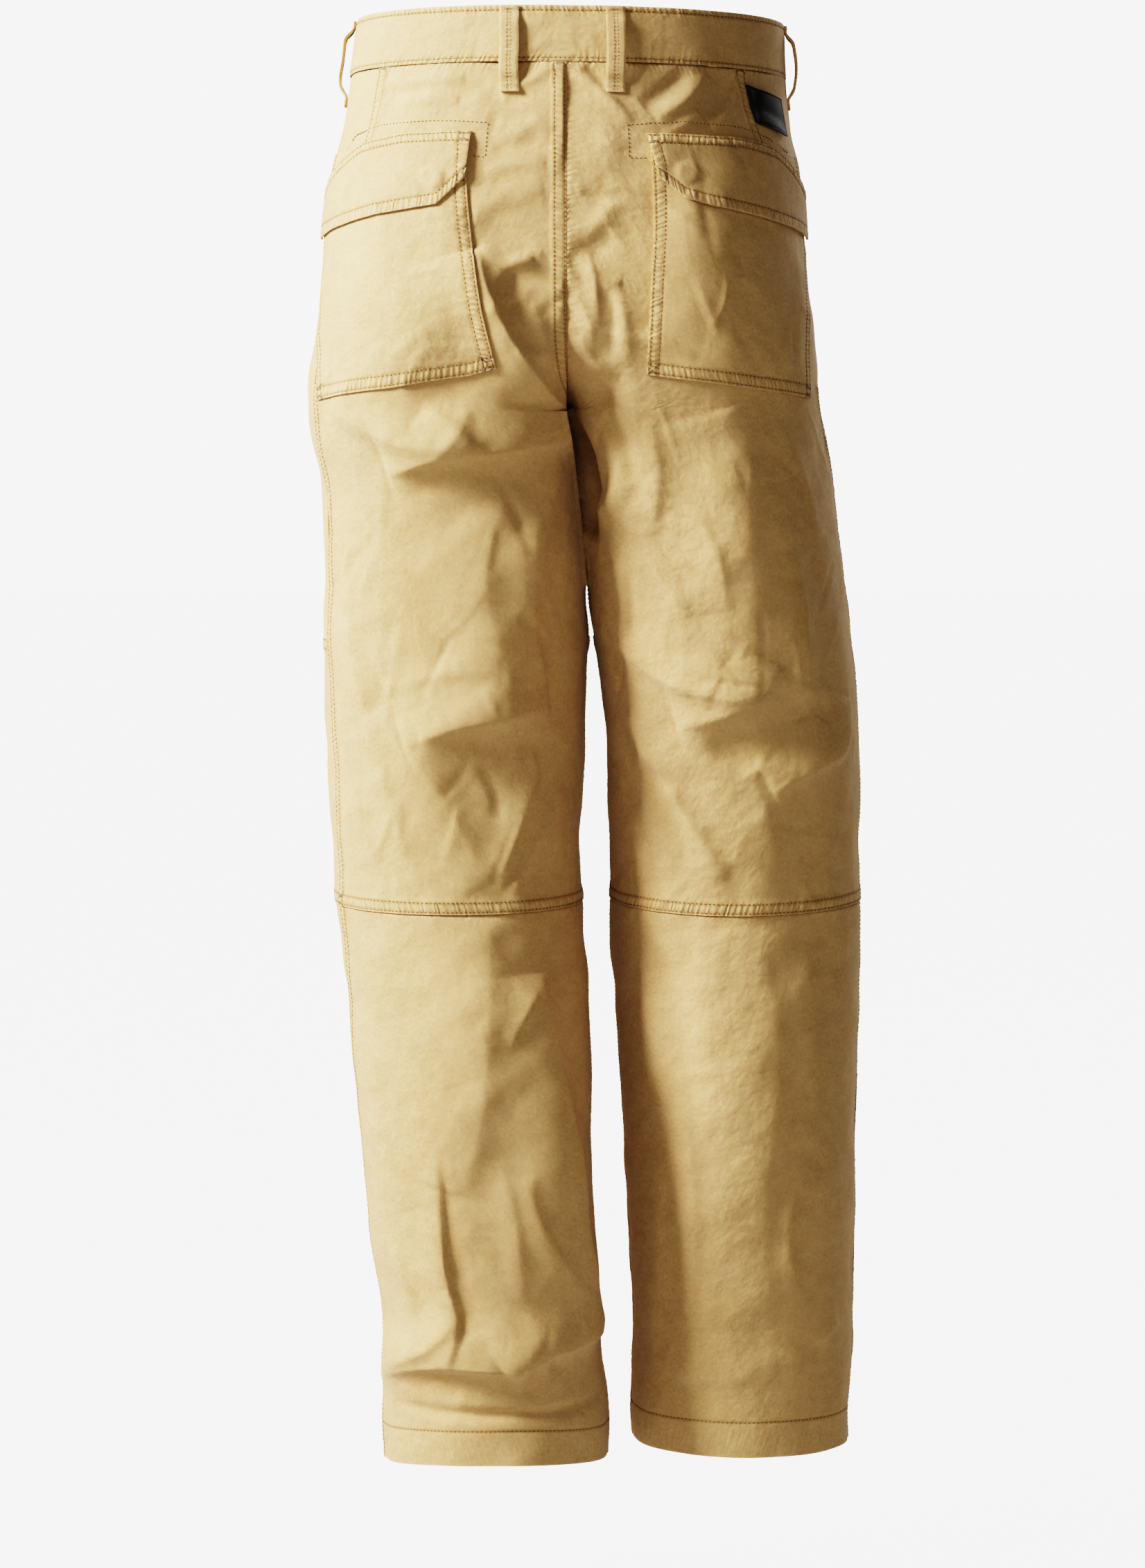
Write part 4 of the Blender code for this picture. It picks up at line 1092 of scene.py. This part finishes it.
def makeFlap(half):
    spec, edges, name = flaps[half], flaps["edges"], "pocket_flap_" + half
    cloth = patchGrid(half, spec, flaps["size"], flaps["cells"])
    away = sewPatch(cloth, edges, spec["seed"])
    onPocket = 2 * layers["gap"] + layers["pocket"] + 0.1
    ease = smooth((cloth.drop - layers["pocketTop"] + 8) / 8)
    lift = layers["gap"] + layers["flap"] + (onPocket - layers["gap"]) * ease
    (across, wide), (up, high) = flaps["bagAcross"], flaps["bagUp"]
    bag = bell((cloth.run / cloth.width - across) / wide) * bell((away["bottom"] - up) / high)
    bump = flapButton(cloth, *spec["button"])
    cloth.settle(lift + flaps["bag"] * bag + bump + roundedRim(away, away, flaps["rim"]))
    piece = clothMesh(name + "_cloth", cloth, layers["flap"] - 0.1, trimTwill)
    settlePiece(piece, "trim_cloth", name)
    patchStitches(name + "_stitches", cloth, away, edges, "trim_cloth", [])
    sizes = float(cloth.width.max() * mm), float(away["top"].max() * mm)


def flapButton(cloth, x, drop, high):
    away = np.hypot(cloth.plain[..., 0] - x, cloth.drop - drop)
    return high * smooth(1 - (away - flaps["buttonRadius"] + 3) / 6)


band = {
    "cell": 1.8, "rowCell": 1.6, "proud": 0.9, "wall": 2.8, "rim": 0.6, "rimPaintedShade": 0.6,
    "rows": (3.8, 37.2), "endRow": 4.0, "wave": 0.4, "wavePitch": 60, "waveSeed": 7,
    # half, first and last angle, samples, and 1 where it lies over the end it started with
    "courses": (("right", -90, 90, 241, 0), ("left", 90, -90, 241, 0), ("right", -90, -77, 25, 1)),
    "lapFrom": 66, "lapOver": 22,  # where the left half rises over the right, degrees
}


def makeBand():
    drops, height = spaced(body["waistSeam"], band["rowCell"]), body["waistSeam"]
    lap = band["wall"] + body["seamGap"]
    courses = []
    for half, first, last, samples, over in band["courses"]:
        degrees = np.linspace(first, last, samples)
        drop, angle = np.meshgrid(drops, np.radians(degrees), indexing="ij")
        rise = smooth((-degrees - band["lapFrom"]) / band["lapOver"]) if half == "left" else over
        lift = np.broadcast_to(lap * rise, drop.shape)[..., None]
        courses.append((plainForm(half, drop, angle), plainNormals(half, drop, angle), lift))
    tables = [np.concatenate([course[k][:, min(i, 1):] for i, course in enumerate(courses)], axis=1)
              for k in range(3)]
    # even spacing round the waist
    steps = np.linalg.norm(np.diff(tables[0][0], axis=0), axis=-1)
    run = np.concatenate([[0], np.cumsum(steps)])
    places = spaced(run[-1], band["cell"])
    pick = np.interp(places, run, np.arange(len(run)))
    j = np.minimum(pick.astype(int), len(run) - 2)
    t = (pick - j)[:, None]
    form, out, lift = (table[:, j] * (1 - t) + table[:, j + 1] * t for table in tables)
    drop, along = np.meshgrid(drops, places, indexing="ij")
    cloth = Cloth("left", drop, along, np.full((len(drops), 1), run[-1]))
    cloth.plain, cloth.plainOut = form, unit(out)
    cloth.relief = band["wave"] * puckers(along, drop, band["wavePitch"], band["waveSeed"])
    cloth.seam(drop, along, (band["rows"][0],), 0.3, 71)
    cloth.seam(height - drop, along, (height - band["rows"][1],), 0.35, 72)
    # painted shade along the band's lower edge
    cloth.tone -= band["rimPaintedShade"] * np.exp(-(height - drop) ** 2)
    rim = np.minimum(drop, height - drop)
    total = cloth.relief + lift[..., 0] + band["proud"] - band["rim"] * np.exp(-(rim / 0.8) ** 2)
    cloth.points = cloth.plain + total[..., None] * cloth.plainOut
    cloth.out = gridNormals(cloth.points, cloth.plainOut)
    outer = inset(cloth.points)
    inner = outer - cloth.out * band["wall"]
    piece = shellMesh("waistband_cloth", outer, inner, cloth, trimTwill)
    settlePiece(piece, "trim_cloth", "waistband")
    lines = [cloth.column(drop, row) for row in band["rows"]]
    lines.append(cloth.line(cloth.width - cloth.run, band["endRow"]))
    stitchMesh("waistband_stitches", lines, sewingThread, "trim_cloth")


loops = {
    "width": 13.6, "cloth": 1.6, "bottom": 61, "cell": 1.3, "sideDegrees": 2,
    # name, half, distance from the centre plane or None at the side, face, how far it stands
    "places": (("back_left", "left", 39.5, 1, 2.6), ("back_right", "right", 33.5, 1, 2.6),
               ("side_left", "left", None, 1, 6.0), ("side_right", "right", None, 1, 6.0),
               ("front_left", "left", 88, -1, 2.6), ("front_right", "right", 88, -1, 2.6)),
    # at each drop, the share of its stand, and what it clears besides
    "keys": ((1, 0, 1.25), (6, 0, 1.25), (12, 0.8, 1.25), (20, 1, 1.25), (30, 1, 1.25),
             (40, 0.9, 1.25), (48, 0.6, 1.25), (54, 0, 0.65), (61, 0, 0.35)),
    # places across or drops of the rows of stitches, their pitch and radius
    "stitches": ((1.3, -1.3), 2.6, 0.3), "tacks": ((2.6, 3.5, 57.0, 58.0), 1.5, 0.3),
    # how often it waves, and how far aside and out
    "waves": 1.3, "waveAside": 0.3, "waveOut": {"side": 0.8, "other": 0.35},
    "edgeTone": 0.2, "rim": 0.5, "groove": 0.18,
}


def makeLoop(name, half, x, face, stand):
    # a folded strip, sewn down at both ends and standing off the band between them
    drops = spaced(loops["bottom"] - 1, loops["cell"]) + 1
    keyDrops, share, clear = np.array(loops["keys"], float).T
    rise = through(keyDrops, share * stand + clear, drops)
    angle = np.full_like(drops, math.radians(loops["sideDegrees"]))
    if x:
        angle = angleAtX(half, drops, x + 0 * drops, face)
    base = plainForm(half, drops, angle)
    way = unit(plainNormals(half, drops, angle).mean(axis=0) * (1, 1, 0))
    aside = np.cross(way, (0, 0, 1)) * outward[half]
    across = spaced(loops["width"], loops["cell"], fine=0.5) - loops["width"] / 2
    seed = 10 * len(name) + len(half)
    start = np.random.default_rng(seed).uniform(0, 6)
    turn = drops / loops["bottom"] * 2 * math.pi * loops["waves"]
    wave = np.sin(turn + start) * bell((drops - 31) / 30)
    rise = rise + loops["waveOut"]["other" if x else "side"] * wave
    edge = loops["width"] / 2 - np.abs(across)
    crown = -loops["rim"] * np.exp(-(edge / 0.9) ** 2) - loops["groove"] * np.exp(-across ** 2)
    swing = across[None, :, None] + wave[:, None, None] * loops["waveAside"]
    stood = rise[:, None] + loops["cloth"] + crown[None, :]
    points = base[:, None, :] + aside * swing + way * stood[..., None]
    drop, run = np.meshgrid(drops, across, indexing="ij")
    cloth = Cloth(half, drop, run, np.full((len(drops), 1), loops["width"]))
    cloth.points, cloth.plainOut = points, np.broadcast_to(way, points.shape)
    cloth.out = gridNormals(points, cloth.plainOut)
    # the strip's edges lighter with wear, and painted shade along the groove down its middle
    cloth.tone += loops["edgeTone"] * (np.exp(-edge ** 2) - np.exp(-(run / 0.9) ** 2))
    cloth.ladder = 0.8 * bell(run / 4)
    cloth.rung = drop + 17.0 * seed
    label = "belt_loop_" + name
    inner = points - cloth.out * loops["cloth"]
    piece = shellMesh(label + "_cloth", points, inner, cloth, trimTwill)
    settlePiece(piece, "trim_cloth", label)
    for kind, follow, reading in (("stitches", cloth.line, run), ("tacks", cloth.column, drop)):
        places, pitch, radius = loops[kind]
        rows = [follow(reading, place) for place in places]
        rows = [(spots[1:-1], outs[1:-1]) for spots, outs in rows]
        stitchMesh(label + "_" + kind, rows, sewingThread, "trim_cloth", pitch, radius)


labelPatch = {
    # (x, drop) at the top and the bottom of each side
    "inner": ((-124, 51), (-131, 78)), "outer": ((-149, 58), (-154, 85)),
    "height": 27, "width": 26, "run": 30.0, "cell": 1.0, "row": 1.2, "stand": 1.6,
}


def makeLabel():
    spec = labelPatch
    rows, columns = (spaced(spec[key], spec["cell"]) / spec[key] for key in ("height", "width"))
    near, far = (np.outer(1 - rows, spec[key][0]) + np.outer(rows, spec[key][1])
                 for key in ("inner", "outer"))
    x, drop = (near[:, k, None] + (far - near)[:, k, None] * columns for k in range(2))
    run = np.repeat((columns * spec["run"])[None, :], len(rows), 0)
    cloth = Cloth("right", drop, run, np.full((len(rows), 1), spec["run"]))
    cloth.shaped(angleAtX("right", drop, -x))
    away = edgeDistances(cloth)
    nearest = np.min(list(away.values()), axis=0)
    cloth.seam(nearest, run + drop, (spec["row"],), 0.15, 81)
    cloth.settle(layers["gap"] + layers["label"] + spec["stand"])
    piece = clothMesh("label_patch_cloth", cloth, layers["label"], labelCloth)
    settlePiece(piece, "label", "label_patch")
    lines = [cloth.column(away[edge], spec["row"]) for edge in ("top", "bottom")]
    lines += [cloth.line(away[edge], spec["row"]) for edge in ("inner", "end")]
    stitchMesh("label_patch_stitches", lines, labelThread, "label", 1.8, 0.16)


flyStrip = {
    "inner": 0.4, "width": 36, "top": 41, "bottom": 214, "turn": 46, "rounding": 2.4,
    "cells": (2.0, 1.8), "columns": 40, "rows": (1.6, 6.5), "stand": 0.9,
}


def makeFly():
    spec = flyStrip
    rows, columns = (spaced(whole, cell) / whole for whole, cell in zip(
        (spec["bottom"] - spec["top"], spec["columns"]), spec["cells"]))
    drops = spec["top"] + (spec["bottom"] - spec["top"]) * rows
    turned = np.clip((drops - spec["bottom"] + spec["turn"]) / spec["turn"], 0, 0.93)
    outer = (spec["width"] * np.sqrt(1 - turned ** spec["rounding"]))[:, None]
    x = spec["inner"] + (outer - spec["inner"]) * columns
    drop = np.repeat(drops[:, None], len(columns), 1)
    cloth = Cloth("left", drop, x, outer).shaped(angleAtX("left", drop, x, -1))
    away = edgeDistances(cloth)
    cloth.seam(away["end"], away["top"], spec["rows"], 0.35, 91)
    rim = roundedRim(away, ("end", "bottom"))
    cloth.settle(layers["gap"] + layers["fly"] + spec["stand"] + rim)
    piece = clothMesh("fly_cloth", cloth, layers["fly"], panelTwill)
    settlePiece(piece, "panel_cloth", "fly")
    lines = [cloth.line(away["end"], row) for row in spec["rows"]]
    stitchMesh("fly_stitches", lines, sewingThread, "panel_cloth")


button = {
    "steps": 48,
    # radius and height of each ring, from the middle of its face round to the middle behind
    "profile": ((0, 0.45), (3.6, 0.45), (4.4, 0.62), (5.2, 1.35), (6.2, 1.6), (7.4, 1.5),
                (8.2, 1.0), (8.5, 0.2), (8.3, -0.7), (7.4, -1.35), (5.0, -1.6), (0, -1.6)),
    # two bars of thread, each of three strands
    "spread": 2.1, "bars": (-1.6, 1.6), "strands": (-0.3, 0.0, 0.3), "threadAt": 0.62,
}


def makeButton():
    low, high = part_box("waist_button")
    middle = np.array((low + high) / 2) / mm
    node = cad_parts["waist_button"]
    corners = np.array([v.co for v in node.data.vertices]) / mm - middle
    out = np.linalg.svd(corners - corners.mean(0))[2][2]
    out = out * np.sign(out @ np.array([0, -1, 0]))
    profile, n = button["profile"], button["steps"]
    turns = [2 * math.pi * k / n for k in range(n)]
    points, faces = [(0, 0, profile[0][1])], []
    for radius, height in profile[1:-1]:
        points += [(radius * math.cos(turn), radius * math.sin(turn), height) for turn in turns]
    points.append((0, 0, profile[-1][1]))
    last = 1 + (len(profile) - 3) * n
    for k in range(n):
        m = (k + 1) % n
        faces.append((0, 1 + k, 1 + m))
        faces += [(a + k, a + n + k, a + n + m, a + m) for a in range(1, last, n)]
        faces.append((last + k, len(points) - 1, last + m))
    piece = addPiece("waist_button_disc", points, faces, horn)
    piece.rotation_euler = Vector(out).to_track_quat("Z", "Y").to_euler()
    piece.location = Vector(middle) * mm
    settlePiece(piece, "button", "waist_button")
    across = np.array(piece.rotation_euler.to_matrix()).T
    lines = []
    for side in button["bars"]:
        for strand in button["strands"]:
            ends = np.array([[x, side + strand, button["threadAt"]]
                             for x in (-button["spread"], button["spread"])])
            lines.append((middle + ends @ across, np.tile(out, (2, 1))))
    stitchMesh("waist_button_thread", lines, sewingThread, "button", 4.2, 0.24)


for half in ("left", "right"):
    for kind in panels:
        makePanel(half, kind)
print("panels made")
for half in ("left", "right"):
    makePocket(half)
    makeFlap(half)
makeBand()
for place in loops["places"]:
    makeLoop(*place)
makeLabel()
makeFly()
makeButton()
print("pockets, band and trims made")


studio = {
    "floorAt": -1.13, "floorSize": 60.0, "floor": (0.42, 0.42, 0.41, 1),
    "pale": (1, 0.995, 0.985, 1), "white": 2.45, "ambient": 0.05, "faded": 0.93,
    "aim": (0.0, 0.0, -0.3),
    # place, size and power of each lamp
    "lamps": {"key": ((2.38, 0.8, 1.15), (0.8, 0.85), 258),
              "fill": ((-0.4, 2.6, 0.9), (1.5, 1.5), 12),
              "front": ((-1.6, -2.4, 0.9), (1.5, 1.5), 58)},
}


def makeFloor():
    bpy.ops.mesh.primitive_plane_add(size=studio["floorSize"], location=(0, 0, studio["floorAt"]))
    floor = bpy.context.object
    floor.name = "floor"
    material, shader, start = newMaterial("pale_floor", Roughness=0.95)
    shader.inputs["Base Color"].default_value = studio["floor"]
    seen = start.add("ShaderNodeLightPath")
    pale = start.add("ShaderNodeEmission",
                     values={"Color": studio["pale"], "Strength": studio["white"]})
    lit = Wire(start.tree, shader.outputs[0])
    mixed = start.add("ShaderNodeMixShader", values={0: seen * studio["faded"], 1: lit, 2: pale})
    out = start.tree.nodes["Material Output"]
    start.tree.links.new(mixed.socket, out.inputs[0])
    floor.data.materials.append(material)


def makeWorld():
    world = bpy.data.worlds.new("studio")
    bpy.context.scene.world = world
    world.use_nodes = True
    start = Wire(world.node_tree)
    seen = start.add("ShaderNodeLightPath")
    strength = studio["ambient"] + seen * (studio["white"] - studio["ambient"])
    sky = world.node_tree.nodes["Background"]
    sky.inputs["Color"].default_value = studio["pale"]
    start.tree.links.new(strength.socket, sky.inputs["Strength"])


def areaLight(name, place, size, power):
    lamp = bpy.data.lights.new(name, "AREA")
    lamp.shape = "RECTANGLE"
    lamp.size, lamp.size_y = size
    lamp.energy = power
    holder = bpy.data.objects.new(name, lamp)
    bpy.context.scene.collection.objects.link(holder)
    holder.location = place
    way = Vector(studio["aim"]) - Vector(place)
    holder.rotation_euler = way.to_track_quat("-Z", "Y").to_euler()


view = {"away": 2.6, "height": -0.3464, "x": -0.004, "lens": 82.9, "shift": -0.133, "pitch": 1.1}


def makeCamera():
    camera = bpy.data.objects.new("camera", bpy.data.cameras.new("camera"))
    bpy.context.scene.collection.objects.link(camera)
    camera.location = (view["x"], view["away"], view["height"])
    camera.rotation_euler = (math.radians(90 - view["pitch"]), 0, math.pi)
    camera.data.lens = view["lens"]
    camera.data.shift_y = view["shift"]
    camera.data.clip_end = 200
    bpy.context.scene.camera = camera


makeFloor()
makeWorld()
for lampName, lampRow in studio["lamps"].items():
    areaLight(lampName, *lampRow)
makeCamera()
bpy.context.scene.view_settings.view_transform = "Filmic"
bpy.context.scene.view_settings.look = "Very High Contrast"
print("stage made")
